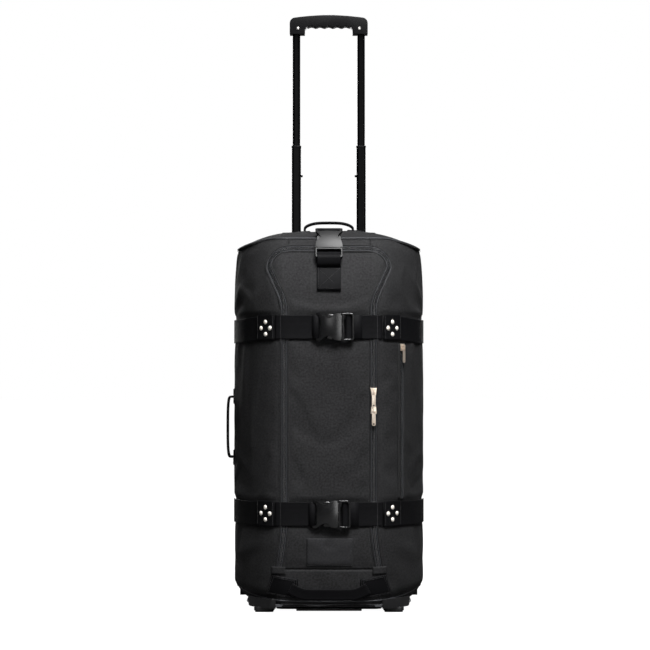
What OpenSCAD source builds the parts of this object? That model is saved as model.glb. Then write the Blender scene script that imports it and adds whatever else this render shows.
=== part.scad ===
// Tall soft-sided rolling bag: a padded fabric body on a moulded base, a three-stage pull handle,
// corner wheels, a zipped front flap and buckled straps. Millimetres, +Z up, floor at Z = 0,
// front towards -Y. Every module is drawn about the bag's middle plane, and placed() then moves it
// so that the origin lies under the middle of the whole footprint.

/* [Body] */
// Half of the width across the sides
half_w = 190; // [180:1:200]
// Distance from the widest section forward to the flat front
nose_d = 173; // [165:1:180]
// Distance from the widest section back to the back panel
tail_d = 155; // [150:1:160]
// Height of the crown of the top panel above the floor
crown_z = 757; // [745:1:770]
// Thickness of the padded fabric walls
wall_t = 5; // [4:0.5:6]

/* [Straps] */
// Width of the webbing
web_w = 47; // [45:1:50]
// Thickness of one layer of webbing
web_t = 1.7; // [1.5:0.1:1.8]
// Height of the middle of the upper strap
upper_strap_z = 558; // [550:1:565]
// Height of the middle of the lower strap
lower_strap_z = 194; // [188:1:200]

/* [Pull handle] */
// Distance from the middle plane to each tube's axis
tube_x = 68; // [64:1:72]
// Height of the grip's underside at full reach
grip_z = 1180; // [1170:1:1190]
// Height of the top of the middle tubes at full reach
middle_top_z = 942; // [930:1:950]

/* [Wheels] */
// Radius of the wheels
wheel_r = 36; // [34:1:37]
// Distance from the middle plane to each wheel's middle
wheel_x = 158; // [155:1:160]

/* [Hidden] */
$fn = 48;

// Plan of the body: flat front, chamfer-like corners that bow outwards, square back.
wide_y = -5;
front_flat = 90;
corner_a = half_w - front_flat;
corner_power = 1.55;
front_y = wide_y - nose_d;
back_y = wide_y + tail_d;
back_r = 25;
plan_steps = 14;

// Side profile: the face leans back towards the top, and the top panel is a shallow dome.
base_z = 12;
lean_from_z = 585;
lean_depth = 54.5;
seam_z = 735;
toe_depth = 15;
flank_tuck = 34;
flank_tuck_z = 50;
toe_to_z = 150;
proud = 1.5;
// Where the side panels meet the front panels and the back panel, from the middle plane.
side_split = 140.3;
back_split = 164;
dome_mid_y = 20;
dome_half = 145;
dome_rise = crown_z - seam_z;
arch_drop = 34;
arch_half = 186;

// Hourglass flap: waist, upper lobe and the flare at its foot.
waist = 87;
lobe = 33;
lobe_low_z = 585;
lobe_high_z = 668;
lobe_r = 40;
hinge_z = 86;
flare = 11;
flare_z = 170;
seam_gap = 0.8;

// Heights of the layers above the fabric.
zip_low = 0.3;
zip_top = 1.5;
zip_half_w = 8;
web_low = 1.9;
web_top = web_low + web_t;
tab_low = web_top + 0.3;
tab_top = tab_low + 1.3;
rivet_x = 121;
strap_end = 104;
rivet_low = tab_top + 0.1;
rivet_step = 12;

// Side-release buckles: the length along the strap, the width across it and the thickness.
buckle_w = 54;
buckle_t = 12;
bar_r = 2;
buckle_low = web_top + 0.6;
buckle_mid_y = front_y - buckle_low - buckle_t / 2;
bar_drop = buckle_t / 2 - bar_r - 0.2;
plug_t = 8.6;
tail_l = 30;
tail_lift = web_top + 0.4;
tail_loop_r = bar_r + 0.3;
tail_loop_lift = tail_lift + web_t + tail_loop_r;
socket_loop_r = bar_r + 0.5;
upper_buckle_x = 12;
lower_buckle_x = 5;
female_bar_x = -35;
male_bar_x = 24;
top_buckle_z = 718;
top_buckle_lean = 33;

// Tubes: [width, depth] outside each stage, all with one wall.
tube_y = 127;
tube_wall = 1.2;
outer_tube = [23.5, 21.5];
middle_tube = [19.6, 17.6];
inner_tube = [16.2, 14.2];
tube_round = 5;
outer_low_z = 30;
outer_top_z = 742;
middle_low_z = 522;
inner_low_z = 770;
bezel_low_z = 742.3;
bezel_top_z = 762;
bezel_half = [98, 21];
grip_half = 82;
grip_h = 40;
grip_t = 26;
grip_inner = 50;
grip_bar_z = grip_z + 14;
button_half = 15;
pocket_z = grip_z + grip_h - 12;
button_lift = 5.5;
lock_pin_z = 882;
lock_reach = 3.6;
middle_travel = 170;

// Wheels, their housings and the tray.
wheel_w = 24;
wheel_y = 146;
axle_r = 4;
axle_head_r = 6.5;
axle_head_h = 2.5;
bearing_r = 11;
bearing_w = 7;
hub_r = 26;
housing_x = [136, 184];
housing_y = [92, 160];
housing_z = [8, 96];
well_r = wheel_r + 3.5;
well_w = wheel_w + 4;
tray_low_z = 5;
foot_x = 127;
foot_y = -131;
foot_size = [40, 36];
foot_pad_h = 3;
guard_x = 104;
guard_y = -112;
guard_t = 3.2;
guard_top_z = 28;
screw_head_r = 4;
screw_head_h = 1.5;

// Carry handles.
top_handle_y = 12;
top_handle_half = 50;
top_handle_z = 777;
top_hinge_z = 761.5;
side_hinge_x = -half_w - 5.5;
side_handle_y = 10;
side_handle_z = 359;
side_handle_half = 62;
side_handle_reach = 18;
handle_w = 26;
foot_rise = 6;

// Zip sliders.
slider_l = 14;
slider_w = 12;
slider_t = 4.2;
pull_l = 26.5;
pull_w = 7;
pull_t = 1.6;
pull_window = 5.9;
pivot_h = 6.6;
pivot_z = -0.5;
main_zip_x = waist;
main_slider_upper_z = 432;
main_slider_lower_z = 396;
side_zip_x = 141;
side_slider_z = 519;
side_zip_z = [222, 530];

badge_size = [90, 54];
badge_at = [1, 120];

frame_shift = [(side_handle_reach - web_top) / 2,
    (-front_y + buckle_low + buckle_t - wheel_y - wheel_r) / 2, 0];

module placed() translate(frame_shift) children();

// ---- the body's form -------------------------------------------------------------------------

function smooth(t) = let (c = min(max(t, 0), 1)) c * c * (3 - 2 * c);

// Right half of the plan, from the front to the back, grown outwards by g.
function plan_half(g) = concat(
    [for (i = [0 : plan_steps]) let (a = 90 * i / plan_steps)
        [front_flat + (corner_a + g) * pow(sin(a), 2 / corner_power),
         wide_y - (nose_d + g) * pow(cos(a), 2 / corner_power)]],
    [for (a = [0 : 15 : 90])
        [half_w + g - back_r + back_r * cos(a), back_y + g - back_r + back_r * sin(a)]]);

function mirrored(points) = [for (i = [len(points) - 1 : -1 : 0]) [-points[i].x, points[i].y]];

function plan(g) = concat(plan_half(g), mirrored(plan_half(g)));

function face_y(z, g) = front_y - proud - g
    + lean_depth * pow(max(z - lean_from_z, 0) / (seam_z - lean_from_z), 2)
    + toe_depth * pow(max(toe_to_z - z, 0) / (toe_to_z - base_z), 2);

function dome_z(y, g) = seam_z + g + dome_rise * (1 - pow((y - dome_mid_y) / dome_half, 2));

function side_profile(g) = concat(
    [for (z = [base_z - g, 40, 70, 100, 130, 150, 585, 605, 625, 645, 665, 685, 705, 720])
        [face_y(z, g), z]],
    [for (y = [-125 : 19 : 160]) [y - g * (1 - (y + 125) / 285), dome_z(y, g)]],
    [[240, dome_z(160, g)], [240, base_z - g]]);

function flank_x(z, g) = half_w + proud + g
    - flank_tuck * pow(max(flank_tuck_z - z, 0) / (flank_tuck_z - base_z), 1.5)
    - 5 * pow(max(z - 600, 0) / 123, 2);

function arch_z(x, g) = crown_z + g - arch_drop * pow(x / arch_half, 2);

function front_half_profile(g) = concat(
    [for (z = [base_z - g, 24, 36, 48, 60, 600, 640, 680, 705]) [flank_x(z, g), z]],
    [for (x = [arch_half + g : -15.5 : 10]) [x, arch_z(x, g)]]);

function front_profile(g) = concat(front_half_profile(g), mirrored(front_half_profile(g)));

module along_x(points, reach = 500)
    rotate([90, 0, 90]) linear_extrude(reach, center = true) polygon(points);

module along_y(points, y0 = -250, y1 = 250)
    translate([0, y1, 0]) rotate([90, 0, 0]) linear_extrude(y1 - y0) polygon(points);

// The whole packed body as one solid, grown outwards by g.
module body_form(g = 0) {
    intersection() {
        linear_extrude(820) polygon(plan(g));
        along_x(side_profile(g));
        along_y(front_profile(g));
    }
}

module skin(low, top) {
    difference() {
        body_form(top);
        body_form(low);
    }
}

module block(x, y, z) translate([x[0], y[0], z[0]]) cube([x[1] - x[0], y[1] - y[0], z[1] - z[0]]);

// ---- the hourglass flap's outline --------------------------------------------------------------

function flap_half(z) = waist + lobe * smooth((z - lobe_low_z) / (lobe_high_z - lobe_low_z))
    + flare * pow(max(flare_z - z, 0) / (flare_z - hinge_z), 1.3);

// Right half of the outline from the foot, moved up by low, to the crown, grown outwards by d.
function flap_edge(d, low = 0) = concat(
    [[flap_half(hinge_z + max(low, 0)) + d, hinge_z + low]],
    low < 0 ? [[flap_half(hinge_z) + d, hinge_z]] : [],
    [for (z = [100, 120, 140, 155, 170, 585, 597, 609, 621, 633, 645, 657]) [flap_half(z) + d, z]],
    [for (a = [0 : 11.25 : 90])
        [waist + lobe - lobe_r + (lobe_r + d) * cos(a), 673 + (lobe_r + d) * sin(a)]]);

module flap_prism(d, low = 0)
    along_y(concat(flap_edge(d, low), mirrored(flap_edge(d, low))), -250, -60);

// ---- padded fabric panels ----------------------------------------------------------------------

module padded_shell() skin(-wall_t, 0);

// Room that the wheel housings take out of the fabric.
module housing_room(gap = 0) for (s = [-1, 1]) scale([s, 1, 1])
    block([housing_x[0] - gap, 220], [housing_y[0] - gap, 220], [-10, housing_z[1] + gap]);

module above_arch(lift = 0) along_y(concat(
    [for (x = [-230 : 23 : 230]) [x, seam_z - 3 + lift - 14 * pow(x / arch_half, 2)]],
    [[230, 900], [-230, 900]]));

module wall_region() {
    difference() {
        padded_shell();
        above_arch();
        block([-300, 300], [-300, 300], [0, base_z + wall_t]);
        housing_room(0.4);
    }
}

module back_panel() color("#1b1b1d")
    intersection() { wall_region(); block([-back_split, back_split], [100, 200], [0, 800]); }

module side_panel(s) color("#222224") intersection() {
    wall_region();
    scale([s, 1, 1]) union() {
        block([side_split, 260], [-200, 100], [0, 800]);
        block([back_split + 0.4, 260], [99, 200], [0, 800]);
    }
}

module front_panels() color("#262628") difference() {
    intersection() {
        wall_region();
        each_side() block([0.2, side_split - 0.3], [-220, -60], [0, 800]);
    }
    flap_prism(seam_gap, -seam_gap);
}

module front_flap() color("#2b2b2d") intersection() {
    padded_shell();
    flap_prism(-seam_gap, seam_gap);
}

module top_panel() color("#2a2a2c") difference() {
    intersection() { padded_shell(); above_arch(0.3); }
    bezel_block(0.3);
    flap_prism(seam_gap);
}

module bottom_panel() color("#1a1a1c") difference() {
    intersection() { body_form(-0.2); block([-300, 300], [-300, 300], [base_z, base_z + wall_t - 0.3]); }
    housing_room(0.4);
}

// Piping along the top seam, a ring that follows the seam just outside the walls.
module seam_piping() color("#141416") difference() {
    intersection() {
        skin(0.2, 2.6);
        above_arch(-4);
    }
    above_arch(0);
    flap_prism(zip_half_w + 1);
    block([-24.5, 24.5], [-220, -60], [700, 800]);
}

// ---- base, feet and wheels ---------------------------------------------------------------------

module base_tray() color("#17171a") difference() {
    union() {
        intersection() { body_form(-2); block([-300, 300], [-300, 300], [8, base_z - 0.2]); }
        translate([0, 0, tray_low_z]) linear_extrude(3) polygon(plan(-38));
        block([-64, 64], [front_y + 24, front_y + 44], [3, 8]);
    }
    housing_room(0.4);
    each_side() block([guard_x - 0.4, 250], [-250, guard_y + 0.4], [tray_low_z - 0.1, base_z]);
}

// Each foot runs up into a guard that wraps the bag's front corner.
module front_feet() color("#101012") each_side() difference() {
    union() {
        translate([foot_x, foot_y, 0]) linear_extrude(foot_pad_h) round_box(foot_size - [4, 4], 6);
        translate([foot_x, foot_y, foot_pad_h]) linear_extrude(base_z - 2 - foot_pad_h)
            round_box(foot_size, 8);
        intersection() {
            body_form(guard_t);
            block([guard_x, 250], [-250, guard_y], [0, guard_top_z]);
        }
    }
    body_form(0.25);
    translate([foot_x, foot_y, -1]) cylinder(r = screw_head_r + 0.6, h = 3);
}

// Domed screw head, drawn with its crown at z = 0 and its seat at z = screw_head_h.
module screw_head() {
    cylinder(r1 = screw_head_r * 0.75, r2 = screw_head_r, h = screw_head_h * 0.6);
    translate([0, 0, screw_head_h * 0.6]) cylinder(r = screw_head_r, h = screw_head_h * 0.4);
}

module base_screws() color("#6d6f72") each_side() {
    translate([foot_x, foot_y, 0.4]) screw_head();
    for (y = [-90, 0, 76]) translate([82, y, tray_low_z - screw_head_h - 0.2]) screw_head();
    for (z = [62, 84]) translate([housing_x[1] + screw_head_h + 0.1, housing_y[0] + 12, z])
        rotate([0, -90, 0]) screw_head();
}

module each_side() for (s = [-1, 1]) scale([s, 1, 1]) children();

module wheel_well(gap = 0) {
    translate([wheel_x - well_w / 2, wheel_y, wheel_r]) rotate([0, 90, 0]) cylinder(r = well_r, h = well_w);
    block([wheel_x - well_w / 2, wheel_x + well_w / 2], [wheel_y, 230], [-20, wheel_r + well_r]);
    block([wheel_x - well_w / 2, wheel_x + well_w / 2], [wheel_y - well_r, 230], [-20, wheel_r]);
}

module wheel_housings() color("#131315") each_side() difference() {
    intersection() {
        block(housing_x, housing_y, housing_z);
        union() {
            block([0, 300], [0, 140], [0, 200]);
            translate([0, 135, housing_z[1] - 25]) rotate([0, 90, 0]) cylinder(r = 25, h = 300);
            block([0, 300], [130, 300], [0, housing_z[1] - 25]);
        }
    }
    wheel_well();
    translate([0, wheel_y, wheel_r]) rotate([0, 90, 0]) cylinder(r = axle_r + 0.1, h = 300);
}

module wheel_axles() color("silver") each_side() translate([housing_x[0] + 1, wheel_y, wheel_r])
    rotate([0, 90, 0]) {
        cylinder(r = axle_r, h = housing_x[1] - housing_x[0] + 1);
        translate([0, 0, housing_x[1] - housing_x[0] - 0.9]) cylinder(r = axle_head_r, h = axle_head_h);
    }

module wheel_ring(r0, r1, w, round) rotate([0, 90, 0]) rotate_extrude() difference() {
    translate([r0, -w / 2]) square([r1 - r0, w]);
    if (round > 0) for (s = [-1, 1]) translate([r1 - round, s * (w / 2 - round)]) difference() {
        translate([0, s > 0 ? 0 : -round - 1]) square([round + 1, round + 1]);
        circle(round);
    }
}

module tyre(s) color("#0f0f10") translate([s * wheel_x, wheel_y, wheel_r])
    wheel_ring(hub_r, wheel_r, wheel_w, 7);

module hub(s) color("#8a8d90") translate([s * wheel_x, wheel_y, wheel_r]) difference() {
    wheel_ring(axle_r + 3, hub_r, wheel_w - 2, 0);
    for (e = [-1, 1]) translate([e * (wheel_w / 2 - 1), 0, 0]) rotate([0, 90, 0])
        cylinder(r = bearing_r, h = 2 * bearing_w, center = true);
}

module bearings(s) color("#b9bcc0") for (e = [-1, 1])
    translate([s * wheel_x + e * (wheel_w / 2 - 1 - bearing_w / 2), wheel_y, wheel_r])
        wheel_ring(axle_r + 0.05, bearing_r, bearing_w, 0);

module skid_rails() color("#121214") each_side() translate([105, back_y + 0.3, 0]) {
    block([-9, 9], [0, 5], [130, 430]);
    for (z = [130, 430]) translate([0, 5, z]) rotate([90, 0, 0]) cylinder(r = 9, h = 5);
    translate([0, 5, 130]) cylinder(r = 4, h = 300);
}

// ---- pull handle -------------------------------------------------------------------------------

module round_box(size, r) {
    square([size.x - 2 * r, size.y], center = true);
    square([size.x, size.y - 2 * r], center = true);
    for (sx = [-1, 1], sy = [-1, 1]) translate([sx * (size.x / 2 - r), sy * (size.y / 2 - r)]) circle(r);
}

module tube(size, z0, z1) each_side() translate([tube_x, tube_y, z0]) linear_extrude(z1 - z0) difference() {
    round_box(size, tube_round);
    round_box(size - 2 * [tube_wall, tube_wall], tube_round - tube_wall);
}

// Groove down the inner side of each outer tube, which the lock pins run in.
module pin_keyway() each_side() block([tube_x - middle_tube.x / 2 - lock_reach - 0.6, tube_x],
    [tube_y - 3, tube_y + 3], [lock_pin_z - middle_travel - 8, bezel_top_z + 10]);

module outer_tubes() color("#0d0d0e") difference() {
    tube(outer_tube, outer_low_z, outer_top_z);
    pin_keyway();
}

module middle_tubes() color("#101011") difference() {
    tube(middle_tube, middle_low_z, middle_top_z);
    each_side() translate([tube_x - middle_tube.x / 2 - 2, tube_y, lock_pin_z]) rotate([0, 90, 0])
        cylinder(r = 2.6, h = 4);
}

module inner_tubes() color("#141415") tube(inner_tube, inner_low_z, grip_z + 12);

module middle_collars() color("#2c2c2e") each_side() translate([tube_x, tube_y, middle_top_z])
    linear_extrude(3.5) difference() {
        round_box(middle_tube + [0.9, 0.9], tube_round);
        round_box(inner_tube + [0.6, 0.6], tube_round);
    }

module lock_pins() color("#1c1c1e") each_side()
    translate([tube_x - middle_tube.x / 2 - lock_reach, tube_y, lock_pin_z]) rotate([0, 90, 0]) {
        cylinder(r1 = 1.7, r2 = 2.4, h = 0.9);
        translate([0, 0, 0.9]) cylinder(r = 2.4, h = lock_reach + 0.2);
    }

module bezel_block(gap = 0) translate([0, tube_y - 1, bezel_low_z - 12 - gap])
    linear_extrude(bezel_top_z - bezel_low_z + 12 + 2 * gap) round_box(2 * bezel_half + 2 * [gap, gap], 12);

module tube_bezel() color("#161618") difference() {
    translate([0, tube_y - 1, bezel_low_z])
        linear_extrude(bezel_top_z - bezel_low_z) round_box(2 * bezel_half, 12);
    translate([0, tube_y - 1, bezel_top_z - 7]) linear_extrude(20) round_box(2 * bezel_half - [10, 10], 9);
    each_side() translate([tube_x, tube_y, 700])
        linear_extrude(100) round_box(middle_tube + [1, 1], tube_round);
    pin_keyway();
}

module tube_foot() color("#161618") difference() {
    block([-90, 90], [tube_y - 16, tube_y + 15], [base_z + wall_t, outer_low_z + 18]);
    each_side() translate([tube_x, tube_y, outer_low_z])
        linear_extrude(60) round_box(outer_tube + [0.3, 0.3], tube_round);
}

module handle_tunnel() color("#4a4c50") difference() {
    block([-102, 102], [tube_y - 21, back_y - wall_t - 0.4], [base_z + wall_t + 0.2, bezel_low_z - 13]);
    block([-99, 99], [tube_y - 18, 200], [0, 800]);
}

// Front outline of the grip: square corner blocks, a bar between them and finger waves below it.
function grip_outline() = concat(
    [[-grip_half, grip_z], [-grip_inner, grip_z], [-grip_inner, grip_bar_z - 4],
        [-grip_inner + 5, grip_bar_z + 2]],
    [for (x = [-44 : 4 : 44]) [x, grip_bar_z + 2 + 1.4 * cos(x * 360 / 18)]],
    [[grip_inner - 5, grip_bar_z + 2], [grip_inner, grip_bar_z - 4], [grip_inner, grip_z],
        [grip_half, grip_z]],
    [for (a = [0 : 15 : 90]) [grip_half - 12 + 12 * cos(a), grip_z + grip_h - 17 + 12 * sin(a)]],
    [for (x = [60 : -10 : -60]) [x, grip_z + grip_h - 5 * pow(x / 70, 2)]],
    [for (a = [90 : 15 : 180]) [-grip_half + 12 + 12 * cos(a), grip_z + grip_h - 17 + 12 * sin(a)]]);

module grip() color("#1d1d1f") difference() {
    along_y(grip_outline(), tube_y - grip_t / 2, tube_y + grip_t / 2);
    each_side() translate([tube_x, tube_y, grip_z - 1])
        linear_extrude(13.2) round_box(inner_tube + [0.1, 0.1], tube_round);
    translate([0, tube_y, pocket_z]) linear_extrude(20) round_box([2 * button_half + 1, 13], 4);
    translate([0, tube_y, pocket_z - 4]) cylinder(r = 3.5, h = 10);
}

module grip_screws() color("#d8d8da") each_side()
    translate([tube_x - 3.5, tube_y - grip_t / 2 - 0.1, grip_z + 12])
    rotate([90, 0, 0]) {
        cylinder(r = 3.2, h = 0.8);
        translate([0, 0, 0.8]) cylinder(r1 = 3.2, r2 = 2.2, h = 0.7);
    }

module grip_button() color("#8f9194") translate([0, tube_y, pocket_z + button_lift])
    linear_extrude(8) round_box([2 * button_half, 12], 3.5);

module button_spring() color("#b0b2b4") translate([0, tube_y, pocket_z - 3.9]) difference() {
    cylinder(r = 3, h = 3.8 + button_lift);
    translate([0, 0, -1]) cylinder(r = 2.3, h = 20);
}

// ---- zips --------------------------------------------------------------------------------------

module zip_band(d0, d1) difference() {
    intersection() { skin(zip_low, zip_top); flap_prism(d1); }
    flap_prism(d0, -30);
}

module body_zip() color("#0c0c0d") difference() {
    zip_band(0.4, zip_half_w);
    block([-200, 200], [-250, -60], [0, hinge_z + 2]);
}

module flap_zip() color("#0c0c0d") difference() {
    zip_band(-zip_half_w, -0.4);
    block([-200, 200], [-250, -60], [0, hinge_z + 2]);
}

module side_zip() color("#0c0c0d") intersection() {
    skin(zip_low, zip_top);
    block([side_zip_x - 5, side_zip_x + 5], [-220, -60], side_zip_z);
}

// Depth of the plan at x, and the direction that its skin faces there, as an angle from -Y.
function plan_y(x) = let (u = max(abs(x) - front_flat, 0) / corner_a)
    wide_y - nose_d * pow(1 - pow(u, corner_power), 1 / corner_power);
function facing(x) = atan2(plan_y(x + 0.5) - plan_y(x - 0.5), 1);

// Puts a piece, drawn at the origin with its back to +Y, on the skin at x and z.
module on_skin(x, z, lift) translate([x, plan_y(x), z]) rotate([0, 0, facing(x)])
    translate([0, -lift, 0]) children();

module slider(flip = 1) {
    difference() {
        rotate([90, 0, 0]) linear_extrude(slider_t) polygon([
            [-slider_w / 2, flip * slider_l / 2], [slider_w / 2, flip * slider_l / 2],
            [slider_w / 2 - 1.5, -flip * slider_l / 2], [-slider_w / 2 + 1.5, -flip * slider_l / 2]]);
        block([-2.2, 2.2], [-0.6, 10], [-20, 20]);
    }
    for (z = [-4.5, 2.5]) block([-1.6, 1.6], [-pivot_h - 2.2, -slider_t + 0.1], [z, z + 2]);
    block([-1.6, 1.6], [-pivot_h - 2.2, -pivot_h - 1.0], [-4.5, 4.5]);
}

// Pull tab hanging from a round bar that turns under the slider's bridge.
module pull() translate([0, -pivot_h, pivot_z]) {
    difference() {
        union() {
            block([-pull_w / 2, pull_w / 2], [-pull_t / 2, pull_t / 2], [-pull_l, 0]);
            translate([0, pull_t / 2, -pull_l]) rotate([90, 0, 0]) cylinder(r = pull_w / 2, h = pull_t);
        }
        translate([0, 10, -pull_l]) rotate([90, 0, 0]) cylinder(r = 1.8, h = 20);
        block([-2, 2], [-20, 20], [-pull_window, 20]);
    }
    translate([-pull_w / 2, 0, 0]) rotate([0, 90, 0]) cylinder(r = pull_t / 2, h = pull_w);
}

module main_slider_upper() color("#c9b9a8")
    on_skin(main_zip_x, main_slider_upper_z, zip_top + 0.3) slider();
module main_pull_upper() color("#d6c8b8") on_skin(main_zip_x, main_slider_upper_z, zip_top + 0.3) pull();
module main_slider_lower() color("#c9b9a8")
    on_skin(main_zip_x, main_slider_lower_z, zip_top + 0.3) slider(-1);
module main_pull_lower() color("#d6c8b8") on_skin(main_zip_x, main_slider_lower_z, zip_top + 0.3) pull();
module side_slider() color("#c9b9a8") on_skin(side_zip_x, side_slider_z, zip_top + 0.3) slider();
module side_pull() color("#d6c8b8") on_skin(side_zip_x, side_slider_z, zip_top + 0.3) pull();

// ---- straps and rivets -------------------------------------------------------------------------

module strap_slab(z, x0, x1) block([x0, x1], [-230, -60], [z - web_w / 2, z + web_w / 2]);

// One layer across the front, then a loop round the socket's bar and a short layer back.
module front_strap(z, buckle_x) {
    bar = buckle_x + female_bar_x;
    loop_y = front_y - web_top - socket_loop_r;
    intersection() { skin(web_low, web_top); strap_slab(z, -strap_end, bar); }
    intersection() { skin(web_low, web_top); strap_slab(z, buckle_x + male_bar_x, strap_end); }
    translate([bar, loop_y, z - web_w / 2]) linear_extrude(web_w) intersection() {
        difference() { circle(socket_loop_r + web_t); circle(socket_loop_r); }
        translate([0, -20]) square([20, 40]);
    }
    block([bar - 22, bar], [loop_y - socket_loop_r - web_t, loop_y - socket_loop_r],
        [z - web_w / 2, z + web_w / 2]);
}

module front_straps() color("#111113") {
    front_strap(upper_strap_z, upper_buckle_x);
    front_strap(lower_strap_z, lower_buckle_x);
}

// The free end: round the plug's bar and back over the strap.
module strap_tail(z, buckle_x) color("#131315") {
    bar = buckle_x + male_bar_x;
    tail_y = front_y - tail_lift;
    block([bar, bar + tail_l], [tail_y - web_t, tail_y], [z - web_w / 2, z + web_w / 2]);
    translate([bar, front_y - tail_loop_lift, z - web_w / 2]) linear_extrude(web_w) intersection() {
        difference() { circle(tail_loop_r + web_t); circle(tail_loop_r); }
        translate([-20, -20]) square([20, 40]);
    }
}

module side_straps() color("#0f0f11") for (z = [upper_strap_z, lower_strap_z]) intersection() {
    skin(web_low, web_top);
    block([-220, 220], [-220, back_y - 30], [z - web_w / 2, z + web_w / 2]);
    each_side() block([strap_end + 0.6, 260], [-220, 200], [0, 800]);
}

module flap_strap() color("#131315") intersection() {
    skin(web_low, web_top);
    block([-web_w / 2, web_w / 2], [-220, -60], [628, 692]);
}

module dome_strap() color("#131315") intersection() {
    skin(web_low, web_top);
    block([-web_w / 2, web_w / 2], [-220, -46], [733, 800]);
}

module rivet_tabs() color("#0e0e10") for (z = [upper_strap_z, lower_strap_z]) intersection() {
    skin(tab_low, tab_top);
    each_side() block([strap_end + 0.6, rivet_x + 17], [-230, -60],
        [z - web_w / 2 - 1.5, z + web_w / 2 + 1.5]);
}

module rivets() color("#e8e4dc") for (s = [-1, 1], z = [upper_strap_z - 2, lower_strap_z], k = [0 : 3]) {
    across = 8.5 * (k == 0 ? -1 : k == 1 ? 1 : 0);
    up = rivet_step * (k == 2 ? -1 : k == 3 ? 1 : 0);
    scale([s, 1, 1]) on_skin(rivet_x + across, z + up, rivet_low + 0.5) rotate([90, 0, 0]) {
        cylinder(r = 4.6, h = 0.9);
        translate([0, 0, 0.9]) cylinder(r1 = 4.6, r2 = 2.6, h = 1.2);
    }
}

// ---- buckles, drawn with the strap along X, the mouth towards +X and the front towards -Y --------

module buckle_socket() {
    half = buckle_w / 2;
    difference() {
        rotate([90, 0, 0]) linear_extrude(buckle_t, center = true) polygon([
            [-28.5, -half], [-20, -half + 1], [-12, -half + 9], [-3, -half + 9], [6, -half + 1],
            [12.5, -half], [12.5, half], [6, half - 1], [-3, half - 9], [-12, half - 9],
            [-20, half - 1], [-28.5, half]]);
        block([-20, 30], [-3.6, 3.6], [-half + 5.5, half - 5.5]);
    }
    for (s = [-1, 1]) block([-37, -28], [-2, buckle_t / 2],
        [s > 0 ? half - 3.4 : -half, s > 0 ? half : -half + 3.4]);
    translate([female_bar_x, bar_drop, -half + 1]) cylinder(r = bar_r, h = buckle_w - 2);
}

module buckle_plug() {
    half = buckle_w / 2;
    difference() {
        block([13.2, 37], [-plug_t / 2, plug_t / 2], [-half, half]);
        block([16.2, 33], [-10, 10], [-half + 3.2, half - 3.2]);
    }
    translate([male_bar_x, buckle_low + buckle_t / 2 - tail_loop_lift, -half + 2])
        cylinder(r = bar_r, h = buckle_w - 4);
    block([-4, 14], [-3, 3], [-5, 5]);
    for (s = [-1, 1]) difference() {
        block([-17, 14], [-3, 3], s > 0 ? [half - 12, half - 6] : [-half + 6, -half + 12]);
        translate([-17, 0, s * (half - 12)]) rotate([0, s * 20, 0]) cube([12, 20, 5], center = true);
    }
}

module at_front(x, z) translate([x, buckle_mid_y, z]) children();

// The top buckle lies on the leaning face, with its mouth facing down.
module at_top() translate([0, face_y(top_buckle_z, 0), top_buckle_z]) rotate([-top_buckle_lean, 0, 0])
    translate([0, -buckle_low - buckle_t / 2 - 0.6, 0]) rotate([0, 90, 0]) children();

module upper_buckle_socket() color("#1f2022") at_front(upper_buckle_x, upper_strap_z) buckle_socket();
module upper_buckle_plug() color("#1f2022") at_front(upper_buckle_x, upper_strap_z) buckle_plug();
module lower_buckle_socket() color("#1f2022") at_front(lower_buckle_x, lower_strap_z) buckle_socket();
module lower_buckle_plug() color("#1f2022") at_front(lower_buckle_x, lower_strap_z) buckle_plug();
module top_buckle_socket() color("#3a3c3f") at_top() buckle_socket();
module top_buckle_plug() color("#3a3c3f") at_top() buckle_plug();

module badge_patch() color("#242427") intersection() {
    skin(0.3, 1.6);
    block([badge_at.x - badge_size.x / 2, badge_at.x + badge_size.x / 2], [-220, -100],
        [badge_at.y - badge_size.y / 2, badge_at.y + badge_size.y / 2]);
}

// ---- carry handles -----------------------------------------------------------------------------

// A bowed grip along X on two narrow feet that turn on round ends, with the turning axis at z = 0.
module bow(half, h, w, t) {
    translate([0, w / 2, 0]) rotate([90, 0, 0]) linear_extrude(w) polygon(concat(
        [[-half, foot_rise], [-half, h * 0.62]],
        [for (i = [-6 : 6]) [i * (half - 8) / 6, h - h * 0.2 * pow(i / 6, 2)]],
        [[half, h * 0.62], [half, foot_rise], [half - t * 1.5, foot_rise], [half - t * 1.5, h * 0.62 - t]],
        [for (i = [5 : -1 : -5]) [i * (half - 8) / 6, h - t - h * 0.2 * pow(i / 6, 2)]],
        [[-half + t * 1.5, h * 0.62 - t], [-half + t * 1.5, foot_rise]]));
    each_side() {
        block([half - t * 1.5, half], [-4, 4], [0, foot_rise + 0.1]);
        translate([half - 12, 0, 0]) rotate([0, 90, 0]) cylinder(r = 2.2, h = 18);
    }
}

module top_carry_handle() color("#0e0e10") translate([0, top_handle_y, top_hinge_z])
    bow(top_handle_half, top_handle_z - top_hinge_z, handle_w, 3);

module side_carry_handle() color("#0b0b0c")
    translate([side_hinge_x, side_handle_y, side_handle_z]) rotate([0, -90, 0])
    bow(side_handle_half, side_handle_reach - 5.5, handle_w, 3);

// The sewn patches that hold both ends of each handle.
module handle_patches() color("#0c0c0d") {
    intersection() {
        skin(0.3, 1.6);
        each_side() block([top_handle_half - 14, top_handle_half + 16],
            [top_handle_y - 16, top_handle_y + 16], [700, 800]);
    }
    intersection() {
        skin(0.3, 1.6);
        union() for (s = [-1, 1]) block([-220, -150], [side_handle_y - 16, side_handle_y + 16],
            [side_handle_z + s * side_handle_half - 16, side_handle_z + s * side_handle_half + 16]);
    }
    intersection() {
        skin(0.3, 2.2);
        each_side() along_y([[58, 28], [122, 38], [108, 76], [88, 76], [60, 70]], -240, -60);
    }
}

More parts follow.
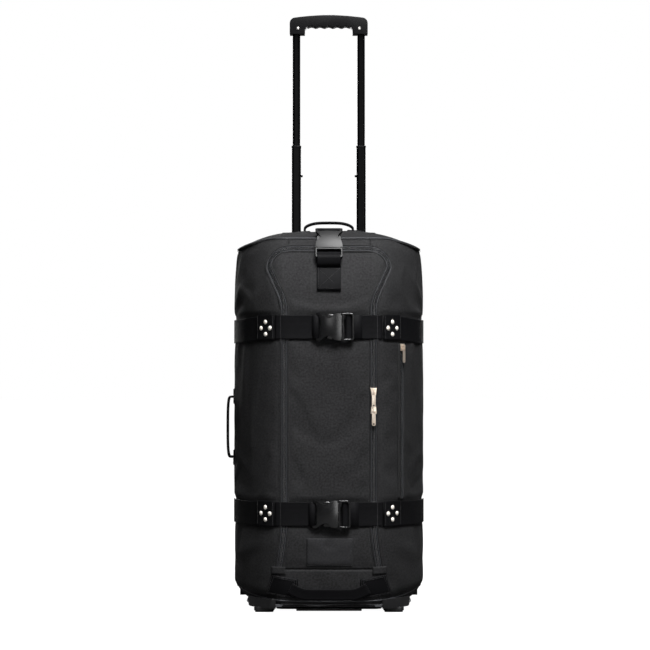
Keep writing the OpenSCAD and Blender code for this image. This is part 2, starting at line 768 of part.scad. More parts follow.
module bottom_grab_handle() color("#121214") intersection() {
    skin(2.5, 5);
    block([-62, 62], [-240, -60], [27, 49]);
}

placed() base_tray();
placed() base_screws();
placed() front_feet();
placed() wheel_housings();
placed() wheel_axles();
placed() tyre(-1);  // left_tyre
placed() hub(-1);  // left_hub
placed() bearings(-1);  // left_bearings
placed() tyre(1);  // right_tyre
placed() hub(1);  // right_hub
placed() bearings(1);  // right_bearings
placed() bottom_panel();
placed() back_panel();
placed() side_panel(-1);  // left_side_panel
placed() side_panel(1);  // right_side_panel
placed() front_panels();
placed() top_panel();
placed() seam_piping();
placed() handle_tunnel();
placed() outer_tubes();
placed() tube_bezel();
placed() tube_foot();
placed() skid_rails();
placed() middle_tubes();
placed() middle_collars();
placed() lock_pins();
placed() inner_tubes();
placed() grip();
placed() grip_screws();
placed() grip_button();
placed() button_spring();
placed() front_flap();
placed() flap_zip();
placed() body_zip();
placed() side_zip();
placed() front_straps();
placed() flap_strap();
placed() dome_strap();
placed() side_straps();
placed() rivet_tabs();
placed() rivets();
placed() upper_buckle_socket();
placed() upper_buckle_plug();
placed() strap_tail(upper_strap_z, upper_buckle_x);  // upper_strap_tail
placed() lower_buckle_socket();
placed() lower_buckle_plug();
placed() strap_tail(lower_strap_z, lower_buckle_x);  // lower_strap_tail
placed() top_buckle_socket();
placed() top_buckle_plug();
placed() badge_patch();
placed() main_slider_upper();
placed() main_pull_upper();
placed() main_slider_lower();
placed() main_pull_lower();
placed() side_slider();
placed() side_pull();
placed() top_carry_handle();
placed() side_carry_handle();
placed() handle_patches();
placed() bottom_grab_handle();
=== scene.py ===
"""A tall soft-sided rolling bag, dressed in cloth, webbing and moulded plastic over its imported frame.

Lengths in this file are millimetres about the bag's middle plane, with the front towards -Y and the floor
at Z = 0. to_scene() turns them into metres in the shared frame, where every finished mesh has its place.
"""
from __future__ import annotations

import logging
import math
from dataclasses import dataclass, field
from enum import Enum
from typing import Callable, ClassVar, Iterable, Sequence

import bmesh
import bpy
import numpy as np
from mathutils import Matrix, Vector
from mathutils.bvhtree import BVHTree


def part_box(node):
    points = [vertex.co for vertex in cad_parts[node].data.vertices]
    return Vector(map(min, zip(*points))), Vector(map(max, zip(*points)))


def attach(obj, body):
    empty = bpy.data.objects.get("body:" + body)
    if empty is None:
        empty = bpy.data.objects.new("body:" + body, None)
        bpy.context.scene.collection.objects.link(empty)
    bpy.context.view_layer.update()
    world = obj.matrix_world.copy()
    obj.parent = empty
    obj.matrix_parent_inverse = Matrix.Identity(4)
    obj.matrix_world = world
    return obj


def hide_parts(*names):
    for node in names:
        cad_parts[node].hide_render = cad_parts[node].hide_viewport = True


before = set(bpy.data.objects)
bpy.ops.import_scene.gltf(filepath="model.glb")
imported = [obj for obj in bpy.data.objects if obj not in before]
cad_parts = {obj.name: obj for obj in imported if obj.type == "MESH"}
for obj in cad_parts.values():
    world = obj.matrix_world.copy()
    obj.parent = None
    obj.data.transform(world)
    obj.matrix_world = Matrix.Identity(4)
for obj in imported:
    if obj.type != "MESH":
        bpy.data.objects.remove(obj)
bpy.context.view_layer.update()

LOG = logging.getLogger("rolling_bag")
MM = 0.001
FRONT_Y = -178.0
STRAP_ROWS = (558.0, 194.0)
SHIFT = Vector((
    (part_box("back_panel")[0].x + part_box("back_panel")[1].x) / 2,
    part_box("front_panels")[0].y - FRONT_Y * MM,
    0.0,
))


def to_scene(point: Sequence[float]) -> Vector:
    """Turn a place in millimetres about the middle plane into metres in the shared frame.

    Args:
        point: X, Y and Z in millimetres.

    Returns:
        The same place in metres.
    """
    return Vector(point) * MM + SHIFT


# ---- shader maths ----------------------------------------------------------------------------------


class Signal:
    """One shader socket that adds Math nodes when it is used in an expression."""

    def __init__(self, graph: "ShaderGraph", socket: bpy.types.NodeSocket) -> None:
        """Wrap an output socket.

        Args:
            graph: The graph that the socket belongs to.
            socket: The output socket.
        """
        self.graph = graph
        self.socket = socket

    def __add__(self, other: "Signal | float") -> "Signal":
        """Add a value."""
        return self.graph.maths("ADD", self, other)

    __radd__ = __add__

    def __sub__(self, other: "Signal | float") -> "Signal":
        """Take a value away."""
        return self.graph.maths("SUBTRACT", self, other)

    def __rsub__(self, other: float) -> "Signal":
        """Take this from a number."""
        return self.graph.maths("SUBTRACT", other, self)

    def __mul__(self, other: "Signal | float") -> "Signal":
        """Multiply by a value."""
        return self.graph.maths("MULTIPLY", self, other)

    __rmul__ = __mul__

    def __truediv__(self, other: "Signal | float") -> "Signal":
        """Divide by a value."""
        return self.graph.maths("DIVIDE", self, other)

    def sine(self) -> "Signal":
        """Take the sine."""
        return self.graph.maths("SINE", self)

    def size(self) -> "Signal":
        """Take the absolute value."""
        return self.graph.maths("ABSOLUTE", self)

    def most(self, other: "Signal | float") -> "Signal":
        """Take the larger of two values."""
        return self.graph.maths("MAXIMUM", self, other)

    def over(self, edge: float) -> "Signal":
        """Give 1 where this is over an edge, and 0 elsewhere."""
        return self.graph.maths("GREATER_THAN", self, edge)

    def ramp(self, low: float, high: float) -> "Signal":
        """Give 0 at low, 1 at high, and a smooth step between them."""
        node = self.graph.node(
            "ShaderNodeMapRange", {"interpolation_type": "SMOOTHSTEP"},
            {"Value": self, "From Min": low, "From Max": high},
        )
        return Signal(self.graph, node.outputs["Result"])


class ShaderGraph:
    """A material's nodes, made one at a time."""

    def __init__(self, name: str) -> None:
        """Start a material with one Principled BSDF.

        Args:
            name: The material's name.
        """
        self.material = bpy.data.materials.new(name)
        self.material.use_nodes = True
        self.tree = self.material.node_tree
        self.shader = self.tree.nodes["Principled BSDF"]

    def node(self, kind: str, settings: dict | None = None, inputs: dict | None = None) -> bpy.types.Node:
        """Add a node.

        Args:
            kind: The node's type.
            settings: Properties, which are set first.
            inputs: Values or links for its sockets, by name or number.

        Returns:
            The new node.
        """
        made = self.tree.nodes.new(kind)
        for key, value in (settings or {}).items():
            setattr(made, key, value)
        for key, value in (inputs or {}).items():
            self.feed(made.inputs[key], value)
        return made

    def feed(self, socket: bpy.types.NodeSocket, value: object) -> None:
        """Link a signal to a socket, or set a plain value on it."""
        if isinstance(value, Signal):
            self.tree.links.new(value.socket, socket)
        elif isinstance(value, bpy.types.NodeSocket):
            self.tree.links.new(value, socket)
        else:
            socket.default_value = value

    def maths(self, operation: str, *values: "Signal | float") -> Signal:
        """Add a Math node.

        Args:
            operation: The Math node's operation.
            values: Its inputs in order.

        Returns:
            Its result.
        """
        made = self.node("ShaderNodeMath", {"operation": operation}, dict(enumerate(values)))
        return Signal(self, made.outputs[0])

    def place(self, kind: str) -> bpy.types.NodeSocket:
        """Give the Object or UV coordinates, both in metres."""
        return self.node("ShaderNodeTexCoord").outputs[kind]

    def axes(self, vector: bpy.types.NodeSocket) -> tuple[Signal, Signal, Signal]:
        """Split a vector into three signals."""
        split = self.node("ShaderNodeSeparateXYZ", {}, {0: vector})
        return tuple(Signal(self, split.outputs[i]) for i in range(3))

    def noise(self, vector: object, pitch: float, detail: float = 2.0) -> Signal:
        """Add noise.

        Args:
            vector: The coordinates that it reads.
            pitch: The size of its grains in millimetres.
            detail: How many finer layers it has.

        Returns:
            A value about 0.5.
        """
        made = self.node(
            "ShaderNodeTexNoise", {}, {"Vector": vector, "Scale": 1 / (pitch * MM), "Detail": detail})
        return Signal(self, made.outputs["Fac"])

    def blend(self, share: "Signal | float", first: Sequence[float], second: Sequence[float]) -> Signal:
        """Mix two colours.

        Args:
            share: How much of the second colour there is.
            first: The first colour.
            second: The second colour.

        Returns:
            The mixed colour.
        """
        made = self.node("ShaderNodeMix", {"data_type": "RGBA"})
        self.feed(made.inputs["Factor"], share)
        self.feed(made.inputs[6], (*first, 1.0))
        self.feed(made.inputs[7], (*second, 1.0))
        return Signal(self, made.outputs[2])

    def bump(self, height: Signal, depth: float, strength: float, under: Signal | None = None) -> Signal:
        """Turn heights into a normal.

        Args:
            height: The height, from 0 to 1.
            depth: What a height of 1 stands for, in millimetres.
            strength: How strongly it shows.
            under: A normal that this one lies on.

        Returns:
            The normal.
        """
        made = self.node(
            "ShaderNodeBump", {}, {"Height": height, "Distance": depth * MM, "Strength": strength})
        if under is not None:
            self.feed(made.inputs["Normal"], under)
        return Signal(self, made.outputs[0])

    def finish(self, **sockets: object) -> bpy.types.Material:
        """Feed the Principled BSDF, with spaces in socket names written as underscores."""
        for key, value in sockets.items():
            self.feed(self.shader.inputs[key.replace("_", " ")], value)
        return self.material


# ---- finishes --------------------------------------------------------------------------------------


class Finish:
    """A finish that is made once and then shared."""

    made: ClassVar[dict[str, bpy.types.Material]] = {}
    title: str

    def material(self) -> bpy.types.Material:
        """Give this finish's material, making it the first time."""
        if self.title not in Finish.made:
            Finish.made[self.title] = self.build(ShaderGraph(self.title))
        return Finish.made[self.title]

    def build(self, graph: ShaderGraph) -> bpy.types.Material:
        """Make the material's nodes."""
        raise NotImplementedError


@dataclass(frozen=True)
class WovenCloth(Finish):
    """Tight coated cloth in a basket weave, read from the piece's own UV map in metres."""

    title: str
    dark: tuple[float, float, float]
    light: tuple[float, float, float]
    pitch: float = 1.3
    roughness: float = 0.78
    sheen: float = 0.004
    depth: float = 0.22

    def build(self, graph: ShaderGraph) -> bpy.types.Material:
        """Make crossing yarns, slubs, faint rub marks and a soft sheen."""
        uv = graph.place("UV")
        across, along, _ = graph.axes(uv)
        turn = math.pi / (self.pitch * MM)
        warp = (across * turn).sine()
        weft = (along * turn).sine()
        crossing = (warp * weft).ramp(-0.35, 0.35)
        yarn = (warp.size() * crossing).most(weft.size() * (1 - crossing))
        slub = graph.noise(uv, 4.0, 3.0)
        rub = graph.noise(uv, 85.0, 2.0)
        fibre = graph.noise(uv, 0.5, 1.0)
        tone = yarn * 0.42 + slub * 1.1 + rub * 0.3 + fibre * 0.14 - 0.52
        skin = graph.bump(slub, 0.5, 0.3)
        normal = graph.bump(yarn * 0.85 + fibre * 0.15, self.depth, 0.75, skin)
        return graph.finish(
            Base_Color=graph.blend(tone, self.dark, self.light),
            Roughness=self.roughness - 0.1 * rub + 0.08 * slub,
            Normal=normal, Specular_IOR_Level=0.07, Sheen_Weight=self.sheen, Sheen_Roughness=0.45,
        )


@dataclass(frozen=True)
class WovenTape(Finish):
    """Ribbed webbing or zip tape: ribs along its length with a slanting weave across them."""

    title: str
    dark: tuple[float, float, float]
    light: tuple[float, float, float]
    rib: float = 2.4
    slant: float = 1.6
    roughness: float = 0.62
    sheen: float = 0.002

    def build(self, graph: ShaderGraph) -> bpy.types.Material:
        """Make ribs, chevrons and stray fibres."""
        uv = graph.place("UV")
        across, along, _ = graph.axes(uv)
        rib = (across * (math.pi / (self.rib * MM))).sine().size()
        chevron = ((along + (across * (math.pi / (2 * self.rib * MM))).sine() * (self.slant * MM))
                   * (math.pi / (self.slant * MM))).sine().size()
        fibre = graph.noise(uv, 0.6, 2.0)
        wear = graph.noise(uv, 40.0, 2.0)
        tone = rib * 0.3 + chevron * 0.3 + wear * 0.3 + fibre * 0.2 - 0.1
        normal = graph.bump(rib * 0.6 + chevron * 0.3 + fibre * 0.1, 0.35, 0.7)
        return graph.finish(
            Base_Color=graph.blend(tone, self.dark, self.light), Roughness=self.roughness - 0.08 * wear,
            Normal=normal, Specular_IOR_Level=0.05, Sheen_Weight=self.sheen, Sheen_Roughness=0.4,
        )


@dataclass(frozen=True)
class Thread(Finish):
    """Twisted sewing thread or piping cord."""

    title: str
    dark: tuple[float, float, float]
    light: tuple[float, float, float]
    roughness: float = 0.6

    def build(self, graph: ShaderGraph) -> bpy.types.Material:
        """Make a fine slanting twist in Object coordinates."""
        place = graph.place("Object")
        x, y, z = graph.axes(place)
        twist = ((x + y + z) * (math.pi / (0.9 * MM))).sine().size()
        wear = graph.noise(place, 14.0, 2.0)
        return graph.finish(
            Base_Color=graph.blend(twist * 0.4 + wear * 0.6, self.dark, self.light),
            Roughness=self.roughness - 0.1 * wear, Normal=graph.bump(twist, 0.15, 0.5),
            Specular_IOR_Level=0.25, Sheen_Weight=0.03,
        )


@dataclass(frozen=True)
class Moulding(Finish):
    """Moulded plastic or rubber, with a fine grain, flow marks and light scuffs."""

    title: str
    colour: tuple[float, float, float]
    roughness: float
    grain: float = 0.7
    grain_depth: float = 0.06
    scuff: float = 0.25
    coat: float = 0.0
    specular: float = 0.5

    def build(self, graph: ShaderGraph) -> bpy.types.Material:
        """Make grain for the bump and slow patches for colour and gloss."""
        place = graph.place("Object")
        grain = graph.noise(place, self.grain, 2.0)
        flow = graph.noise(place, 60.0, 3.0)
        scuff = graph.noise(place, 9.0, 4.0).ramp(0.56, 0.78)
        worn = tuple(min(1.0, c * 1.7 + 0.012) for c in self.colour)
        return graph.finish(
            Base_Color=graph.blend(scuff * self.scuff + flow * 0.18, self.colour, worn),
            Roughness=self.roughness + self.scuff * (0.4 * flow + 0.55 * scuff) - 0.05,
            Normal=graph.bump(grain, self.grain_depth, 0.5), Coat_Weight=self.coat, Coat_Roughness=0.12,
            Specular_IOR_Level=self.specular,
        )


@dataclass(frozen=True)
class Plating(Finish):
    """Bare, plated or anodised metal, brushed along its length and rubbed in places."""

    title: str
    colour: tuple[float, float, float]
    tarnish: tuple[float, float, float]
    roughness: float = 0.28
    metallic: float = 1.0
    brush: tuple[float, float, float] = (1.0, 1.0, 0.06)
    wear: float = 0.16
    specular: float = 0.5

    def build(self, graph: ShaderGraph) -> bpy.types.Material:
        """Make long brushed grains and patches of tarnish."""
        place = graph.place("Object")
        stretched = graph.node("ShaderNodeMapping", {}, {"Vector": place, "Scale": self.brush})
        brushed = graph.noise(stretched.outputs[0], 0.7, 2.0)
        patch = graph.noise(place, 16.0, 3.0).ramp(0.42, 0.72)
        return graph.finish(
            Base_Color=graph.blend(patch * 0.7, self.colour, self.tarnish), Metallic=self.metallic,
            Roughness=self.roughness + self.wear * patch + 0.1 * brushed - 0.05,
            Normal=graph.bump(brushed, 0.03, 2.2 * self.wear), Specular_IOR_Level=self.specular,
        )


CHARCOAL = WovenCloth("charcoal_cloth", (0.0036, 0.0036, 0.0039), (0.0275, 0.0275, 0.0285))
LINING = WovenCloth("lining_cloth", (0.030, 0.031, 0.034), (0.075, 0.077, 0.084), 0.9, 0.6, 0.05, 0.1)
BADGE = WovenCloth("badge_cloth", (0.0105, 0.0105, 0.0115), (0.0260, 0.0260, 0.0275), 0.8, 0.6, 0.02, 0.08)
WEBBING = WovenTape("webbing", (0.0009, 0.0009, 0.0011), (0.0056, 0.0056, 0.0064))
ZIP_TAPE = WovenTape("zip_tape", (0.0014, 0.0014, 0.0016), (0.0070, 0.0072, 0.0080), 1.1, 0.9)
PIPING = Thread("piping_cord", (0.0120, 0.0125, 0.0140), (0.0400, 0.0415, 0.0460))
BLACK_THREAD = Thread("black_thread", (0.0050, 0.0050, 0.0055), (0.0240, 0.0240, 0.0256))
TEETH = Moulding("zip_teeth", (0.0125, 0.0130, 0.0145), 0.36, 0.4, 0.03, 0.2)
TRAY_BLACK = Moulding("tray_black", (0.0070, 0.0070, 0.0078), 0.5, 0.8, 0.09, 0.4, 0.0, 0.35)
GRIP_BLACK = Moulding("grip_black", (0.0018, 0.0018, 0.0021), 0.44, 0.5, 0.05, 0.05, 0.0, 0.07)
BUCKLE_BLACK = Moulding("buckle_black", (0.0016, 0.0016, 0.0019), 0.27, 0.9, 0.002, 0.03, 0.0, 0.62)
BUCKLE_SATIN = Moulding("buckle_satin", (0.0020, 0.0021, 0.0024), 0.5, 0.9, 0.002, 0.03, 0.0, 0.24)
BUTTON_GREY = Moulding("button_grey", (0.17, 0.172, 0.178), 0.42, 0.6, 0.04, 0.3)
HUB_GREY = Moulding("hub_grey", (0.075, 0.077, 0.082), 0.45, 0.8, 0.05, 0.3)
BOARD_GREY = Moulding("board_grey", (0.06, 0.062, 0.067), 0.7, 1.5, 0.12, 0.2)
RUBBER = Moulding("foot_rubber", (0.0045, 0.0045, 0.0050), 0.42, 0.6, 0.05, 0.3, 0.0, 0.4)
TYRE = Moulding("tyre_rubber", (0.012, 0.012, 0.0125), 0.68, 0.7, 0.12, 0.9, 0.0, 0.3)
TUBE_BLACK = Plating(
    "tube_black", (0.0008, 0.0008, 0.0009), (0.0014, 0.0014, 0.0016), 0.14, 0.0, (1.0, 1.0, 0.02), 0.01, 0.06)
SLIDER_NICKEL = Plating("slider_nickel", (0.86, 0.74, 0.62), (0.60, 0.49, 0.39), 0.3, 0.8, (1, 1, 1))
# Rivets: the near-white base is partly the nickel's pale colour and partly a painted highlight. With metallic
# only 0.4, it shows as bright diffuse colour where a metal dome would show reflections and darker sides.
RIVET_NICKEL_PAINTED_SHINE = Plating("rivet_nickel", (0.96, 0.92, 0.85), (0.84, 0.77, 0.68), 0.34, 0.4, (1, 1, 1))
SCREW_STEEL = Plating("screw_steel", (0.66, 0.65, 0.63), (0.40, 0.39, 0.38), 0.3, 1.0, (1, 1, 1))


# ---- meshes ----------------------------------------------------------------------------------------


def make_piece(
    name: str, points: np.ndarray, faces: Iterable[Sequence[int]], uv: np.ndarray | None = None,
    outwards: bool = True,
) -> bpy.types.Object:
    """Make a mesh object from places in millimetres.

    Args:
        name: The piece's name.
        points: One row of X, Y and Z for each corner.
        faces: The corners of each face.
        uv: One row of U and V in millimetres for each corner.
        outwards: Whether to turn every face outwards, which a closed piece needs.

    Returns:
        The new object.
    """
    mesh = bpy.data.meshes.new(name)
    mesh.from_pydata([to_scene(p) for p in points], [], [tuple(f) for f in faces])
    if uv is not None:
        layer = mesh.uv_layers.new(name="cloth")
        for loop in mesh.loops:
            layer.data[loop.index].uv = uv[loop.vertex_index] * MM
    if outwards:
        with_bmesh(mesh, lambda work: bmesh.ops.recalc_face_normals(work, faces=work.faces))
    mesh.polygons.foreach_set("use_smooth", [True] * len(mesh.polygons))
    mesh.update()
    piece = bpy.data.objects.new(name, mesh)
    bpy.context.scene.collection.objects.link(piece)
    return piece


def with_bmesh(mesh: bpy.types.Mesh, change: Callable[[bmesh.types.BMesh], object]) -> None:
    """Change a mesh through a BMesh.

    Args:
        mesh: The mesh.
        change: What to do to it.
    """
    work = bmesh.new()
    work.from_mesh(mesh)
    change(work)
    work.to_mesh(mesh)
    work.free()


def settle(piece: bpy.types.Object) -> bpy.types.Object:
    """Apply every modifier of a piece to its mesh.

    Args:
        piece: The piece.

    Returns:
        The same piece, with plain mesh and no modifiers.
    """
    shown = piece.evaluated_get(bpy.context.evaluated_depsgraph_get())
    mesh = bpy.data.meshes.new_from_object(shown)
    piece.modifiers.clear()
    piece.data = mesh
    return piece


def thicken(piece: bpy.types.Object, depth: float) -> bpy.types.Object:
    """Give an open shell a wall that grows inwards.

    Args:
        piece: The shell.
        depth: The wall's thickness in millimetres.

    Returns:
        The same piece.
    """
    wall = piece.modifiers.new("wall", "SOLIDIFY")
    wall.thickness = depth * MM
    wall.offset = -1
    return settle(piece)


def soften(piece: bpy.types.Object, radius: float, segments: int = 3, angle: float = 32) -> bpy.types.Object:
    """Round a hard piece's edges and shade it smoothly.

    Args:
        piece: The piece.
        radius: The edges' radius in millimetres.
        segments: How many strips each round has.
        angle: The sharpest turn, in degrees, that stays as it is.

    Returns:
        The same piece.
    """
    round_ = piece.modifiers.new("round", "BEVEL")
    round_.width = radius * MM
    round_.segments = segments
    round_.limit_method = "ANGLE"
    round_.angle_limit = math.radians(angle)
    round_.harden_normals = False
    round_.use_clamp_overlap = True
    settle(piece)
    piece.data.polygons.foreach_set("use_smooth", [True] * len(piece.data.polygons))
    piece.data.set_sharp_from_angle(angle=math.radians(40))
    return piece


def joined(piece: bpy.types.Object, other: bpy.types.Object) -> bpy.types.Object:
    """Add another piece's mesh to a piece, and give the piece."""
    def add(work: bmesh.types.BMesh) -> None:
        """Add the other mesh."""
        work.from_mesh(other.data)

    with_bmesh(piece.data, add)
    bpy.data.objects.remove(other)
    return piece


def evened(piece: bpy.types.Object) -> bpy.types.Object:
    """Let a piece's large faces rule its shading, so that its rounds read cleanly, and give the piece."""
    weighted = piece.modifiers.new("shading", "WEIGHTED_NORMAL")
    weighted.keep_sharp = True
    weighted.weight = 80
    return settle(piece)


def moulded_copy(node: str, radius: float, segments: int = 3) -> bpy.types.Object:
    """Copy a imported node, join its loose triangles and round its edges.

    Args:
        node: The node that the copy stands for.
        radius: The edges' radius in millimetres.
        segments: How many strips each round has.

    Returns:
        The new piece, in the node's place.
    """
    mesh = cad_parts[node].data.copy()
    mesh.materials.clear()
    piece = bpy.data.objects.new("moulded_" + node, mesh)
    bpy.context.scene.collection.objects.link(piece)

    def join(work: bmesh.types.BMesh) -> None:
        """Join the corners and drop the lines across flat faces."""
        bmesh.ops.remove_doubles(work, verts=work.verts, dist=0.004 * MM)
        bmesh.ops.dissolve_limit(
            work, angle_limit=math.radians(1.2), verts=work.verts, edges=work.edges)

    with_bmesh(mesh, join)
    soften(piece, radius, segments)
    return piece


def place_piece(
    piece: bpy.types.Object, body: str, finish: Finish, nodes: Sequence[str] = (),
) -> bpy.types.Object:
    """Give a piece its finish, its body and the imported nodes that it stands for.

    Args:
        piece: The piece.
        body: The body that it rides on.
        finish: Its finish.
        nodes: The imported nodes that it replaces.

    Returns:
        The same piece.
    """
    piece.data.materials.clear()
    piece.data.materials.append(finish.material())
    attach(piece, body)
    if nodes:
        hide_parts(*nodes)
    LOG.info("%s: %d faces on %s", piece.name, len(piece.data.polygons), body)
    return piece


def weave_grid(rows: int, columns: int, closed: bool = False) -> list[tuple[int, int, int, int]]:
    """List the faces of a grid of corners, whose columns run to the right as seen from outside.

    Args:
        rows: How many rows of corners there are.
        columns: How many columns there are.
        closed: Whether the last column joins the first.

    Returns:
        Four corners for each face.
    """
    last = columns if closed else columns - 1
    return [
        (i * columns + j, i * columns + (j + 1) % columns,
         (i + 1) * columns + (j + 1) % columns, (i + 1) * columns + j)
        for i in range(rows - 1) for j in range(last)
    ]


@dataclass
class Track:
    """A path over the bag's skin, with the direction that its outer side faces at each step."""

    points: np.ndarray
    normals: np.ndarray

    def axes(self) -> tuple[np.ndarray, np.ndarray, np.ndarray]:
        """Give unit vectors along the path, across it and outwards."""
        if len(self.points) < 2:
            return self.normals, self.normals, self.normals
        along = np.gradient(self.points, axis=0)
        along /= np.linalg.norm(along, axis=1, keepdims=True)
        across = np.cross(self.normals, along)
        across /= np.linalg.norm(across, axis=1, keepdims=True)
        return along, across, np.cross(along, across)

    def lengths(self) -> np.ndarray:
        """Give how far along the path each step is, in millimetres."""
        steps = np.linalg.norm(np.diff(self.points, axis=0), axis=1)
        return np.concatenate([[0.0], np.cumsum(steps)])

    def moved(self, across: float, out: float = 0.0) -> "Track":
        """Give a path beside this one.

        Args:
            across: How far to the left of the direction of travel, as seen from outside.
            out: How far outwards.

        Returns:
            The new path.
        """
        _, side, up = self.axes()
        return Track(self.points + side * across + up * out, up)

    def smoothed(self, passes: int) -> "Track":
        """Give the path with its small steps evened out."""
        points = self.points.copy()
        for _ in range(passes):
            points[1:-1] = points[1:-1] * 0.5 + (points[:-2] + points[2:]) * 0.25
        return Track(points, self.normals)


def sweep(
    name: str, tracks: Sequence[Track], profile: Sequence[tuple[float, float]], body: str,
    nodes: Sequence[str] = (), finish: Finish = WEBBING,
) -> None:
    """Make and place a closed outline swept along one path or several, with closed ends.

    Args:
        name: The piece's name.
        tracks: The paths.
        profile: The outline as places across and above the path, in millimetres.
        body: The body that it rides on.
        nodes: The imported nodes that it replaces.
        finish: Its finish.
    """
    outline = np.array(profile, float)
    around = np.concatenate([[0.0], np.cumsum(np.linalg.norm(np.diff(outline, axis=0), axis=1))])
    points, faces, uv, start = [], [], [], 0
    for track in tracks:
        _, side, up = track.axes()
        rings = (track.points[:, None] + outline[None, :, :1] * side[:, None]
                 + outline[None, :, 1:] * up[:, None])
        count, size = rings.shape[:2]
        points.append(rings.reshape(-1, 3))
        along = track.lengths()
        uv.append(np.stack(np.meshgrid(around, along), axis=-1).reshape(-1, 2))
        faces += [[start + corner for corner in face] for face in weave_grid(count, size, True)]
        faces.append([start + k for k in range(size)])
        faces.append([start + (count - 1) * size + k for k in range(size)][::-1])
        start += count * size
    piece = make_piece(name, np.concatenate(points), faces, np.concatenate(uv))
    place_piece(piece, body, finish, nodes)


def flat_profile(width: float, low: float, top: float, edge: float = 0.5) -> list[tuple[float, float]]:
    """Outline a flat band with rounded, slightly raised edges.

    Args:
        width: The band's width in millimetres.
        low: The height of its underside.
        top: The height of its upper side.
        edge: How far its corners are rounded.

    Returns:
        The outline's places across and above.
    """
    half, lip = width / 2, 0.15
    return [
        (-half + edge, low), (0.0, low), (half - edge, low), (half, low + edge), (half, top - edge),
        (half - edge, top + lip), (half - 4 * edge, top), (0.0, top), (-half + 4 * edge, top),
        (-half + edge, top + lip), (-half, top - edge), (-half, low + edge),
    ]


def round_profile(radius: float, centre: tuple[float, float] = (0.0, 0.0), sides: int = 8) -> list:
    """Outline a cord.

    Args:
        radius: The cord's radius in millimetres.
        centre: Its place across and above the path.
        sides: How many sides it has.

    Returns:
        The outline's places across and above.
    """
    return [
        (centre[0] + radius * math.cos(a), centre[1] + radius * math.sin(a))
        for a in (2 * math.pi * k / sides for k in range(sides))
    ]


# ---- repeated pieces -------------------------------------------------------------------------------


class PathShape(Enum):
    """What a geometry tree makes along its paths."""

    CORD = "cord"
    BEADS = "beads"
    STUDS = "studs"


